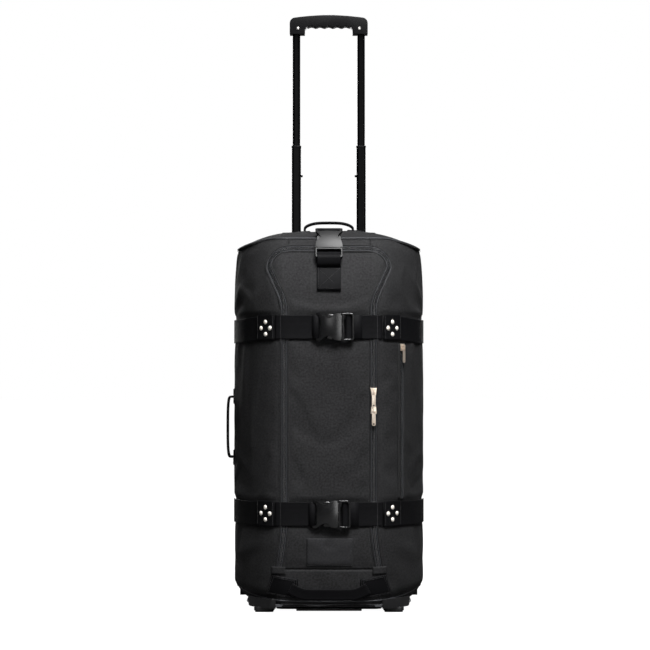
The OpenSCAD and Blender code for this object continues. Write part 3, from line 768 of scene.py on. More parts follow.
@dataclass(frozen=True)
class AlongPath:
    """A geometry tree that runs a cord, or sets beads such as stitches and teeth, along paths."""

    shape: PathShape
    pitch: float
    size: tuple[float, float, float]
    sides: int = 8

    def tree(self, finish: Finish) -> bpy.types.NodeTree:
        """Build the tree, with named inputs for its sizes.

        Args:
            finish: The finish that the result has.

        Returns:
            The node group.
        """
        group = bpy.data.node_groups.new("along_path", "GeometryNodeTree")
        group.interface.new_socket("Geometry", in_out="INPUT", socket_type="NodeSocketGeometry")
        for name in ("Pitch", "Length", "Width", "Height"):
            group.interface.new_socket(name, in_out="INPUT", socket_type="NodeSocketFloat")
        group.interface.new_socket("Geometry", in_out="OUTPUT", socket_type="NodeSocketGeometry")

        def add(kind: str, settings: dict | None = None, **inputs: object) -> bpy.types.Node:
            """Add a node, with spaces in its sockets' names written as underscores."""
            node = group.nodes.new(kind)
            for key, value in (settings or {}).items():
                setattr(node, key, value)
            for key, value in inputs.items():
                socket = node.inputs[key.replace("_", " ")]
                if isinstance(value, bpy.types.NodeSocket):
                    group.links.new(value, socket)
                else:
                    socket.default_value = value
            return node

        given = add("NodeGroupInput").outputs
        if self.shape is PathShape.STUDS:
            steps = given["Geometry"]
        else:
            path = add("GeometryNodeMeshToCurve", Mesh=given["Geometry"]).outputs[0]
            steps = add("GeometryNodeResampleCurve", {"mode": "LENGTH"}, Curve=path,
                        Length=given["Pitch"]).outputs[0]
        if self.shape is PathShape.CORD:
            ring = add("GeometryNodeCurvePrimitiveCircle", Resolution=self.sides, Radius=given["Width"])
            made = add("GeometryNodeCurveToMesh", {}, Curve=steps, Profile_Curve=ring.outputs[0],
                       Fill_Caps=True).outputs[0]
        else:
            bead = add("GeometryNodeMeshUVSphere", Segments=self.sides, Rings=4, Radius=1.0).outputs[0]
            up = add("GeometryNodeInputNamedAttribute", {"data_type": "FLOAT_VECTOR"}, Name="up")
            if self.shape is PathShape.STUDS:
                turn = add("FunctionNodeAlignRotationToVector", {"axis": "Z"}, Vector=up.outputs[0])
            else:
                turn = add("FunctionNodeAxesToRotation", {"primary_axis": "X", "secondary_axis": "Z"},
                           Primary_Axis=add("GeometryNodeInputTangent").outputs[0],
                           Secondary_Axis=up.outputs[0])
            size = add("ShaderNodeCombineXYZ", X=given["Length"], Y=given["Width"], Z=given["Height"])
            made = add("GeometryNodeInstanceOnPoints", Points=steps, Instance=bead,
                       Rotation=turn.outputs[0], Scale=size.outputs[0]).outputs[0]
        whole = add("GeometryNodeRealizeInstances", Geometry=made).outputs[0]
        dressed = add("GeometryNodeSetMaterial", Geometry=whole, Material=finish.material()).outputs[0]
        add("NodeGroupOutput", Geometry=dressed)
        return group

    def run(
        self, name: str, tracks: Sequence[Track], body: str, finish: Finish = BLACK_THREAD,
        slot: str = "webbing_black", nodes: Sequence[str] = (),
    ) -> None:
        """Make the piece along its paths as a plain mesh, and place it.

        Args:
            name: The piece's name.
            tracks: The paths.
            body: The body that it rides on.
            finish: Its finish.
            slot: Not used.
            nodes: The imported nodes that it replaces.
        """
        mesh = bpy.data.meshes.new(name)
        points = np.concatenate([track.points for track in tracks])
        edges, start = [], 0
        for track in tracks:
            count = len(track.points)
            edges += [(start + k, start + k + 1) for k in range(count - 1)]
            start += count
        if self.shape is PathShape.STUDS:
            edges = []
        mesh.from_pydata([to_scene(p) for p in points], edges, [])
        up = mesh.attributes.new("up", "FLOAT_VECTOR", "POINT")
        up.data.foreach_set("vector", np.concatenate([track.axes()[2] for track in tracks]).ravel())
        piece = bpy.data.objects.new(name, mesh)
        bpy.context.scene.collection.objects.link(piece)
        modifier = piece.modifiers.new("along", "NODES")
        modifier.node_group = self.tree(finish)
        sizes = dict(zip(("Pitch", "Length", "Width", "Height"), (self.pitch, *self.size)))
        for item in modifier.node_group.interface.items_tree:
            if item.in_out == "INPUT" and item.name in sizes:
                modifier[item.identifier] = sizes[item.name] * MM
        settle(piece)
        piece.data.polygons.foreach_set("use_smooth", [True] * len(piece.data.polygons))
        place_piece(piece, body, finish, nodes)


STITCHES = AlongPath(PathShape.BEADS, 3.0, (1.15, 0.34, 0.3), 6)
ZIGZAG = AlongPath(PathShape.BEADS, 2.6, (1.2, 0.5, 0.4), 6)
RIVETS = AlongPath(PathShape.STUDS, 1.0, (4.6, 4.6, 1.7), 16)
ZIP_COIL = AlongPath(PathShape.BEADS, 1.7, (0.62, 1.7, 0.75), 6)
PIPING_CORD = AlongPath(PathShape.CORD, 4.0, (0.0, 1.7, 0.0), 8)
FINE_CORD = AlongPath(PathShape.CORD, 4.0, (0.0, 0.75, 0.0), 6)


# ---- the bag's form --------------------------------------------------------------------------------


@dataclass(frozen=True)
class BodyForm:
    """The bag's outside: a flat front that rounds into its flanks, and a low dome on top."""

    half_width: float = 190.0
    back_y: float = 150.0
    widest_y: float = -5.0
    flat_half: float = 90.0
    nose: float = 173.0
    power: float = 1.55
    back_round: float = 25.0
    base_z: float = 13.0
    hinge_z: float = 86.0
    crown_z: float = 713.0
    shoulder_x: float = 80.0
    shoulder_z: float = 673.0
    shoulder_round: float = 40.0
    waist_half: float = 87.0
    waist_z: float = 592.0
    hinge_half: float = 98.0
    front_places: int = 61

    def face_y(self, z: np.ndarray) -> np.ndarray:
        """Give the front face's Y at a height: it leans back towards the top and tucks in at the base."""
        lean = np.clip((z - 585.0) / 150.0, 0, None)
        tuck = np.clip((150.0 - z) / 138.0, 0, None)
        return -178.3 + 54.5 * lean ** 2 + 15.0 * tuck ** 2

    def flank_x(self, z: np.ndarray) -> np.ndarray:
        """Give the flank's X at a height."""
        return (188.5 - 32.0 * (np.clip(50.0 - z, 0, None) / 38.0) ** 1.5
                - 5.0 * (np.clip(z - 600.0, 0, None) / 123.0) ** 2)

    def flap_half(self, z: np.ndarray) -> np.ndarray:
        """Give half the flap's width at a height: an hourglass with a round-shouldered top."""
        t = np.clip((z - self.waist_z) / 104.0, 0, 1)
        lobe = 34.0 * t * t * (3 - 2 * t)
        flare = 11.0 * (np.clip(170.0 - z, 0, None) / 84.0) ** 1.3
        over = np.clip(z - self.shoulder_z, 0, self.shoulder_round)
        shoulder = self.shoulder_x + np.sqrt(np.clip(self.shoulder_round ** 2 - over ** 2, 0, None))
        return np.minimum(self.waist_half + lobe + flare, shoulder)

    def ease(self, s: np.ndarray, z: np.ndarray, reach: float = 16.0) -> np.ndarray:
        """Give how free the padded cloth is at places on the wall: 0 at a seam, and 1 away from them."""
        across = np.abs(s)
        side = np.abs(across - self.flap_half(z))
        shoulder = np.hypot(np.clip(across - self.shoulder_x, 0, None), z - self.shoulder_z)
        crown = np.where(across > self.shoulder_x, np.abs(shoulder - self.shoulder_round),
                         np.abs(z - self.crown_z))
        gap = np.where(z > self.shoulder_z, crown, side)
        from_hinge = np.hypot(across - self.hinge_half, self.hinge_z - z)
        gap = np.where(z < self.hinge_z, from_hinge, gap)
        x = np.minimum(across, 186.0)
        gap = np.minimum(gap, np.minimum(self.seam_z(x) - z, np.abs(z - self.base_seam(s))))
        share = np.clip(gap / reach, 0, 1)
        return share * share * (3 - 2 * share)

    def base_seam(self, s: np.ndarray) -> np.ndarray:
        """Give the height of the piped seam above the hem: low in front and higher along the flanks."""
        return 23.0 + 17.0 * np.clip(np.abs(s) / 262.0, 0, 1) ** 2.2

    def seam_z(self, x: np.ndarray) -> np.ndarray:
        """Give the height of the seam between the walls and the top."""
        return 734.0 - 16.0 * (np.clip(np.abs(x) - 110.0, 0, None) / 76.0) ** 1.6

    def ridge_z(self, x: np.ndarray) -> np.ndarray:
        """Give the height of the top's ridge."""
        return 757.0 - 38.0 * (np.abs(x) / 186.0) ** 2.8

    def plan(self) -> np.ndarray:
        """Give half of the bag's plan from the middle of the front to the middle of the back."""
        turn = np.linspace(0, math.pi / 2, self.front_places - 1)
        power = 2 / self.power
        front = np.stack([
            self.flat_half + (self.half_width - self.flat_half) * np.sin(turn) ** power,
            self.widest_y - self.nose * np.cos(turn) ** power], axis=1)
        centre = (self.half_width - self.back_round, self.back_y - self.back_round)
        back = np.stack([
            centre[0] + self.back_round * np.cos(turn), centre[1] + self.back_round * np.sin(turn)], axis=1)
        return np.concatenate([[[0.0, FRONT_Y]], front, back, [[0.0, self.back_y]]])

    def lengths(self) -> np.ndarray:
        """Give how far round the plan each of its points is."""
        steps = np.linalg.norm(np.diff(self.plan(), axis=0), axis=1)
        return np.concatenate([[0.0], np.cumsum(steps)])

    def round_at(self, x: float, back: bool = False) -> float:
        """Give how far round the plan an X is, on the front half or on the back."""
        plan, lengths = self.plan(), self.lengths()
        middle = self.front_places
        if back:
            return float(np.interp(-x, -plan[middle:, 0], lengths[middle:]))
        return float(np.interp(x, plan[:middle, 0], lengths[:middle]))

    def at(self, s: np.ndarray, z: np.ndarray) -> np.ndarray:
        """Give places on the wall.

        Args:
            s: How far round the plan from the middle of the front, negative on the left.
            z: The heights.

        Returns:
            One row of X, Y and Z for each place.
        """
        s, z = np.broadcast_arrays(np.asarray(s, float), np.asarray(z, float))
        plan, lengths = self.plan(), self.lengths()
        x = np.interp(np.abs(s), lengths, plan[:, 0])
        y = np.interp(np.abs(s), lengths, plan[:, 1])
        spread = (self.flank_x(z) - self.flat_half) / (self.half_width - self.flat_half)
        x = np.where(x > self.flat_half, self.flat_half + (x - self.flat_half) * spread, x)
        share = np.clip((self.widest_y - y) / self.nose, 0, 1)
        y = y + (self.face_y(z) - FRONT_Y) * share
        return np.stack([np.sign(s) * x, y, z], axis=-1)

    def outward(self, s: float, z: float) -> np.ndarray:
        """Give the wall's outward direction at a place."""
        step = 3.0
        along = self.at(s + step, z) - self.at(s - step, z)
        rise = self.at(s, z + step) - self.at(s, z - step)
        normal = np.cross(along, rise)
        return normal / np.linalg.norm(normal)

    def top_z(self, x: np.ndarray, share: np.ndarray) -> np.ndarray:
        """Give the top's height.

        Args:
            x: The places' X.
            share: How far towards the front or back seam they are, from 0 at the ridge to 1.

        Returns:
            Their heights.
        """
        return self.seam_z(x) + (self.ridge_z(x) - self.seam_z(x)) * (1 - np.abs(share) ** 2.2)


FORM = BodyForm()


class Skin:
    """The finished outer cloth, which everything sewn onto it is laid on."""

    def __init__(self, pieces: Sequence[bpy.types.Object]) -> None:
        """Gather the pieces' faces.

        Args:
            pieces: The outer shells.
        """
        points, faces = [], []
        for piece in pieces:
            start = len(points)
            points += [(v.co - SHIFT) / MM for v in piece.data.vertices]
            faces += [[start + k for k in face.vertices] for face in piece.data.polygons]
        self.tree = BVHTree.FromPolygons(points, faces)

    def drop(self, place: np.ndarray, normal: np.ndarray, reach: float = 30.0) -> np.ndarray:
        """Lay a place on the skin.

        Args:
            place: A place near the skin.
            normal: The outward direction there.
            reach: How far outside to start.

        Returns:
            The place on the skin, or the given one where there is no skin.
        """
        start = Vector(place) + Vector(normal) * reach
        found = self.tree.ray_cast(start, -Vector(normal), reach * 2.2)[0]
        return np.array(found) if found is not None else np.array(place, float)

    def wall(self, s: Sequence[float], z: Sequence[float], smooth: int = 3) -> Track:
        """Lay a path on the walls or the flap.

        Args:
            s: Its steps round the plan.
            z: Its heights.
            smooth: How often it is evened out.

        Returns:
            The path.
        """
        s, z = np.broadcast_arrays(np.asarray(s, float), np.asarray(z, float))
        normals = np.array([FORM.outward(a, b) for a, b in zip(s, z)])
        points = np.array([self.drop(p, n) for p, n in zip(FORM.at(s, z), normals)])
        return Track(points, normals).smoothed(smooth)

    def above(self, x: Sequence[float], y: Sequence[float], smooth: int = 3) -> Track:
        """Lay a path on the top.

        Args:
            x: Its steps' X.
            y: Their Y.
            smooth: How often it is evened out.

        Returns:
            The path.
        """
        x, y = np.broadcast_arrays(np.asarray(x, float), np.asarray(y, float))
        up = np.array([0.0, 0.0, 1.0])
        points = np.array([self.drop((a, b, 740.0), up, 60.0) for a, b in zip(x, y)])
        track = Track(points, np.tile(up, (len(points), 1))).smoothed(smooth)
        slope = np.gradient(track.points, axis=0)
        side = np.cross(track.normals, slope)
        normals = np.cross(slope, side)
        return Track(track.points, normals / np.linalg.norm(normals, axis=1, keepdims=True))


# ---- cloth -----------------------------------------------------------------------------------------


@dataclass(frozen=True)
class Drape:
    """How a panel is relaxed as cloth between its seams."""

    pressure: float = 1.5
    spare: float = 0.004
    frames: int = 15
    inward: float = 0.6
    outward: float = 1.6
    bending: float = 45.0
    weight: float = 0.25

    def apply(self, piece: bpy.types.Object, held: np.ndarray) -> None:
        """Simulate the panel and keep its result within its cap.

        Args:
            piece: An open shell.
            held: Which of its corners are sewn down, from 0 to 1.
        """
        rest = np.array([v.co for v in piece.data.vertices])
        normals = np.array([v.normal for v in piece.data.vertices])
        pins = piece.vertex_groups.new(name="sewn")
        for index, weight in enumerate(held):
            if weight > 0:
                pins.add([index], float(weight), "REPLACE")
        cloth = piece.modifiers.new("cloth", "CLOTH")
        settings = cloth.settings
        settings.quality = 5
        settings.mass = 0.35
        settings.tension_stiffness = 30
        settings.compression_stiffness = 12
        settings.shear_stiffness = 8
        settings.bending_stiffness = self.bending
        settings.air_damping = 3
        settings.vertex_group_mass = "sewn"
        settings.shrink_min = -self.spare
        settings.use_pressure = True
        settings.uniform_pressure_force = self.pressure
        settings.effector_weights.gravity = self.weight
        cloth.point_cache.frame_start = 1
        cloth.point_cache.frame_end = self.frames
        scene = bpy.context.scene
        for step in range(1, self.frames + 1):
            scene.frame_set(step)
        shown = piece.evaluated_get(bpy.context.evaluated_depsgraph_get())
        moved = np.array([v.co for v in shown.data.vertices])
        piece.modifiers.remove(cloth)
        scene.frame_set(1)
        move = moved - rest
        out = np.clip((move * normals).sum(1), -self.inward * MM, self.outward * MM)
        slip = move - normals * (move * normals).sum(1, keepdims=True)
        reach = np.linalg.norm(slip, axis=1, keepdims=True)
        slip *= np.minimum(1, 1.5 * MM / np.maximum(reach, 1e-9))
        free = (1 - np.minimum(held, 1))[:, None]
        final = rest + (normals * out[:, None] + slip) * free
        piece.data.vertices.foreach_set("co", final.ravel())
        piece.vertex_groups.clear()
        piece.data.update()
        LOG.info("%s draped: out %.1f to %.1f mm", piece.name, out.min() / MM, out.max() / MM)


@dataclass(frozen=True)
class Crease:
    """A soft fold or bulge pressed into a panel before it is draped."""

    s: float
    z: float
    long: float
    wide: float
    depth: float
    turn: float = 0.0

    def press(self, s: np.ndarray, z: np.ndarray) -> np.ndarray:
        """Give how far outwards the fold lifts each place."""
        angle = math.radians(self.turn)
        ds, dz = s - self.s, z - self.z
        along = ds * math.cos(angle) + dz * math.sin(angle)
        over = dz * math.cos(angle) - ds * math.sin(angle)
        return self.depth * np.exp(-(along / self.long) ** 2 - (over / self.wide) ** 2)


@dataclass
class SoftShell:
    """The bag's padded panels, sewn from a flap, two walls, two front bands, a back and a top."""

    step: float = 5.0
    wall: float = 4.2
    strap_rows: tuple[float, float] = STRAP_ROWS
    strap_half: float = 25.0
    tube_hole: tuple[float, float, float] = (92.0, 127.0, 15.0)
    padding: float = 1.8
    sag: Drape = field(default_factory=Drape)
    creases: tuple[Crease, ...] = (
        Crease(236, 640, 34, 9, 3.0, -38), Crease(250, 600, 46, 12, -2.2, -24),
        Crease(205, 500, 12, 60, 2.0), Crease(232, 300, 40, 13, 2.4, 28),
        Crease(248, 252, 42, 10, -2.0, 16), Crease(160, 640, 14, 34, 1.6, 20),
        Crease(170, 330, 10, 80, 1.4), Crease(190, 120, 44, 13, 2.2, -12),
        Crease(260, 90, 40, 12, -2.0, 8), Crease(-236, 632, 38, 10, 3.0, 34),
        Crease(-252, 598, 44, 12, -2.2, 22), Crease(-208, 470, 14, 56, 2.0),
        Crease(-240, 300, 44, 14, 2.4, -24), Crease(-232, 246, 40, 10, -1.8, -14),
        Crease(-164, 620, 12, 40, 1.4), Crease(-176, 360, 11, 78, 1.6),
        Crease(-192, 122, 44, 12, 2.2, 14), Crease(-258, 92, 40, 12, -2.0, -8),
        Crease(40, 470, 16, 54, 1.2, 10), Crease(-38, 400, 18, 60, 1.3, -8),
        Crease(20, 286, 52, 22, 1.4, 6), Crease(-30, 640, 40, 16, 1.6, 10),
        Crease(34, 606, 44, 12, -1.0, -8), Crease(0, 140, 54, 14, 1.4),
    )
    outer: list[bpy.types.Object] = field(default_factory=list)

    def panel(
        self, name: str, body: str, places: np.ndarray, uv: np.ndarray, lift: np.ndarray,
        held: np.ndarray, nodes: Sequence[str], skip: Callable[[np.ndarray], bool] | None = None,
    ) -> bpy.types.Object:
        """Make one padded panel.

        Args:
            name: Its name.
            body: The body that it rides on.
            places: A grid of places, with rows going up and columns to the right as seen from outside.
            uv: The same grid's places on the flat cloth.
            lift: How far outwards each place is pressed.
            held: Which places are sewn down, from 0 to 1.
            nodes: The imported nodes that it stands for.
            skip: Tells whether a face at a place is left out.

        Returns:
            The finished panel.
        """
        rows, columns = places.shape[:2]
        along = np.gradient(places, axis=1)
        rise = np.gradient(places, axis=0)
        normal = np.cross(along, rise)
        normal /= np.maximum(np.linalg.norm(normal, axis=2, keepdims=True), 1e-9)
        pressed = (places + normal * lift[..., None]).reshape(-1, 3)
        faces = weave_grid(rows, columns)
        if skip is not None:
            faces = [f for f in faces if not skip(pressed[list(f)].mean(axis=0))]
        piece = make_piece(name, pressed, faces, uv.reshape(-1, 2), outwards=False)
        self.sag.apply(piece, held.ravel())
        self.outer.append(piece)
        self.finishes.append((piece, body, nodes))
        return piece

    def __post_init__(self) -> None:
        """Start the list of panels that still need their walls."""
        self.finishes: list[tuple[bpy.types.Object, str, Sequence[str]]] = []

    def lift(self, s: np.ndarray, z: np.ndarray) -> np.ndarray:
        """Give the padding, the pressed folds and the slow unevenness of the wall's cloth."""
        total = sum(crease.press(s, z) for crease in self.creases)
        slow = np.sin(s / 31.0 + 0.6 * np.sin(z / 47.0)) * np.sin(z / 39.0 + 0.8 * np.sin(s / 53.0))
        fine = np.sin(s / 12.7 + z / 21.0) * np.sin(z / 15.3 - s / 33.0)
        tight = 1 - self.strap_hold(z)
        return FORM.ease(s, z) * (self.padding + total + 0.6 * slow + 0.3 * fine) * tight

    def strap_hold(self, z: np.ndarray) -> np.ndarray:
        """Give how firmly the straps hold the cloth at a height."""
        held = np.zeros_like(z)
        for row in self.strap_rows:
            gap = np.clip((np.abs(z - row) - self.strap_half + 3.0) / 9.0, 0, 1)
            held = np.maximum(held, 0.95 * (1 - gap * gap * (3 - 2 * gap)))
        return held

    def rows(self, low: float, high: float) -> np.ndarray:
        """Give the heights of a panel's rows."""
        return np.linspace(low, high, max(3, int((high - low) / self.step) + 1))

    def flap(self) -> None:
        """Make the hourglass flap, hinged along its lower edge."""
        z = self.rows(FORM.hinge_z, FORM.crown_z)
        half = FORM.flap_half(z) - 0.5
        share = np.linspace(-1, 1, 45)
        s = half[:, None] * share
        front = slice(FORM.front_places)
        s = np.sign(s) * np.interp(np.abs(s), FORM.plan()[front, 0], FORM.lengths()[front])
        grid_z = np.repeat(z[:, None], len(share), axis=1)
        edge = np.minimum(1 - np.abs(share)[None, :], 1) * half[:, None]
        edge = np.minimum(edge, np.minimum(grid_z - z[0], z[-1] - grid_z))
        held = np.maximum(np.clip(1.6 - edge / 7.0, 0, 1), self.strap_hold(grid_z))
        self.panel("flap_panel", "flap", FORM.at(s, grid_z), np.stack([s, grid_z], axis=-1),
                   self.lift(s, grid_z), held, ["front_flap"])

    def side(self, sign: int, name: str, node: str) -> None:
        """Make one wall, from the flap's edge round the flank to the back.

        Args:
            sign: -1 for the left wall and 1 for the right one.
            name: The panel's name.
            node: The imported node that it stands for.
        """
        end = FORM.round_at(FORM.half_width - FORM.back_round, back=True)
        low = self.rows(FORM.base_z, FORM.hinge_z)
        middle = self.rows(FORM.hinge_z, FORM.crown_z)[1:]
        share = np.linspace(0, 1, 84) ** 0.92
        edge = np.concatenate([np.full(len(low), FORM.flap_half(np.array([FORM.hinge_z]))[0]),
                               FORM.flap_half(middle)]) + 0.5
        front = slice(FORM.front_places)
        start = np.interp(edge, FORM.plan()[front, 0], FORM.lengths()[front])
        rows_z = np.concatenate([low, middle])
        s = start[:, None] + (end - start[:, None]) * share
        z = np.repeat(rows_z[:, None], len(share), axis=1)
        top_s = start[-1] + (end - start[-1]) * share
        top_x = np.abs(FORM.at(top_s, np.full(len(share), 715.0))[:, 0])
        rise = np.linspace(0, 1, 6)[1:, None]
        s = np.concatenate([s, np.repeat(top_s[None], 5, axis=0)])
        z = np.concatenate([z, FORM.crown_z + (FORM.seam_z(top_x) - FORM.crown_z) * rise])
        if sign < 0:
            s, z = -s[:, ::-1], z[:, ::-1]
        from_edge = np.minimum(np.abs(s) - np.abs(s).min(axis=1, keepdims=True), end - np.abs(s))
        from_edge = np.minimum(from_edge, np.minimum(z - z[0], z[-1] - z))
        held = np.maximum(np.clip(1.5 - from_edge / 7.0, 0, 1), self.strap_hold(z))
        pocket = np.abs(np.abs(s) - FORM.round_at(141.0)) < 7
        held = np.maximum(held, 0.9 * (pocket & (z > 215) & (z < 536) & (s > 0)))
        self.panel(name, "bag", FORM.at(s, z), np.stack([s, z], axis=-1), self.lift(s, z), held, [node])

    def bands(self) -> None:
        """Make the narrow bands of the front above and below the flap."""
        for name, low, high, half in (
            ("lower_band", FORM.base_z, FORM.hinge_z - 0.15,
             FORM.flap_half(np.array([FORM.hinge_z]))[0] + 0.5),
            ("upper_band", FORM.crown_z + 0.5, 734.0, 80.5),
        ):
            reach = FORM.round_at(half)
            s, z = np.meshgrid(np.linspace(-reach, reach, 41), self.rows(low, high))
            edge = np.minimum(reach - np.abs(s), np.minimum(z - low, high - z))
            held = np.clip(1.2 - edge / 8.0, 0, 1)
            self.panel(name, "bag", FORM.at(s, z), np.stack([s, z], axis=-1), self.lift(s, z), held,
                       ["front_panels"])

    def back(self) -> None:
        """Make the stiff flat back."""
        x, share = np.meshgrid(np.linspace(165, -165, 60), np.linspace(0, 1, 130))
        z = FORM.base_z + (FORM.seam_z(x) - FORM.base_z) * share
        places = np.stack([x, np.full_like(x, FORM.back_y), z], axis=-1)
        edge = np.minimum(165 - np.abs(x), np.minimum(z - FORM.base_z, FORM.seam_z(x) - z))
        held = np.clip(1.3 - edge / 12.0, 0.35, 1)
        self.panel("back_wall", "bag", places, np.stack([x, z], axis=-1), 0.8 * (1 - held), held,
                   ["back_panel"])

    def top(self) -> None:
        """Make the domed top with its opening for the tubes."""
        reach = FORM.flank_x(np.array([716.0]))[0]
        turn = np.linspace(-math.pi / 2, math.pi / 2, 71)
        x = reach * np.sin(turn) * 0.9995
        seam = FORM.seam_z(x)
        front = np.array([FORM.at(FORM.round_at(abs(a)), b) for a, b in zip(x, seam)])[:, 1]
        plan = FORM.plan()[FORM.front_places:]
        back = np.interp(-np.abs(x), -plan[:, 0], plan[:, 1])
        share = np.linspace(-1, 1, 58)[:, None]
        y = np.where(share < 0, 20 + (20 - front) * share, 20 + (back - 20) * share)
        grid_x = np.repeat(x[None], len(share), axis=0)
        z = FORM.top_z(grid_x, np.repeat(share, len(x), axis=1))
        edge = np.minimum(1 - np.abs(share), 1) * 140
        edge = np.minimum(edge, reach - np.abs(grid_x))
        held = np.clip(1.3 - edge / 9.0, 0, 1)
        wide, middle, deep = self.tube_hole
        held = np.maximum(held, 0.95 * ((np.abs(grid_x) < wide + 12) & (np.abs(y - middle) < deep + 9)))
        self.panel(
            "top_wall", "bag", np.stack([grid_x, y, z], axis=-1), np.stack([grid_x, y], axis=-1),
            1.2 * (1 - held) * (1 + np.sin(grid_x / 27.0 + y / 41.0)), held, ["top_panel"],
            lambda place: abs(place[0]) < wide and abs(place[1] - middle) < deep,
        )

    def build(self) -> Skin:
        """Make every panel, and give each one its wall and lining.

        Returns:
            The outer skin, for what is sewn onto it.
        """
        self.flap()
        self.side(1, "right_wall", "right_side_panel")
        self.side(-1, "left_wall", "left_side_panel")
        self.bands()
        self.back()
        self.top()
        skin = Skin(self.outer)
        for piece, body, nodes in self.finishes:
            wall = piece.modifiers.new("wall", "SOLIDIFY")
            wall.thickness = self.wall * MM
            wall.offset = -1
            wall.material_offset = 1
            wall.use_even_offset = False
            place_piece(piece, body, CHARCOAL)
            piece.data.materials.append(LINING.material())
            settle(piece)
            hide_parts(*nodes)
        return skin


# ---- sewn parts ------------------------------------------------------------------------------------


def sewn_patch(
    name: str, lay: Callable[[np.ndarray, np.ndarray], Track], corners: Sequence[tuple[float, float]],
    low: float, top: float, cells: int = 14,
) -> bpy.types.Object:
    """Lay a four-cornered patch with softly rounded edges on the skin.

    Args:
        name: The patch's name.
        lay: Lays a row of places on the skin.
        corners: Its corners, anticlockwise from the lower left as seen from outside.
        low: The height of its underside.
        top: The height of its middle.
        cells: How many cells it has each way.

    Returns:
        The closed patch.
    """
    a, b, c, d = (np.array(corner, float) for corner in corners)
    share = np.linspace(0, 1, cells + 1)
    rows, flat = [], []
    for v in share:
        line = (a + (d - a) * v) * (1 - share[:, None]) + (b + (c - b) * v) * share[:, None]
        track = lay(line[:, 0], line[:, 1])
        edge = np.minimum(np.minimum(share, 1 - share), min(v, 1 - v)) * cells
        height = low + (top - low) * np.clip(0.35 + edge * 0.8, 0, 1)
        rows.append(track.points + track.normals * height[:, None])
        flat.append(line)
    count = cells + 1
    piece = make_piece(
        name, np.concatenate(rows), weave_grid(count, count), np.concatenate(flat), outwards=False)
    return thicken(piece, max(0.9, top - low))


def outline_track(
    lay: Callable[[np.ndarray, np.ndarray], Track], corners: Sequence[tuple[float, float]], inset: float,
    height: float, step: float = 3.0,
) -> list[Track]:
    """Lay the lines of stitches that run inside a patch's edges.

    Args:
        lay: Lays a row of places on the skin.
        corners: The patch's corners.
        inset: How far inside the edges the lines are.
        height: Their height over the skin.
        step: The distance between their places.

    Returns:
        One path for each side.
    """
    points = np.array(corners, float)
    middle = points.mean(axis=0)
    reach = np.linalg.norm(points - middle, axis=1, keepdims=True)
    points = middle + (points - middle) * (1 - inset * 1.414 / reach)
    lines = []
    for start, end in zip(points, np.roll(points, -1, axis=0)):
        lines.append(straight_track(lay, start, end, height, step))
    return lines


def straight_track(
    lay: Callable[[np.ndarray, np.ndarray], Track], start: Sequence[float], end: Sequence[float],
    height: float, step: float = 3.0,
) -> Track:
    """Lay one straight line over the skin.

    Args:
        lay: Lays a row of places on the skin.
        start: Its first place.
        end: Its last place.
        height: Its height over the skin.
        step: The distance between its places.

    Returns:
        The path.
    """
    start, end = np.array(start, float), np.array(end, float)
    count = max(3, int(np.linalg.norm(end - start) / step) + 1)
    line = start + (end - start) * np.linspace(0, 1, count)[:, None]
    return lay(line[:, 0], line[:, 1]).moved(0, height)


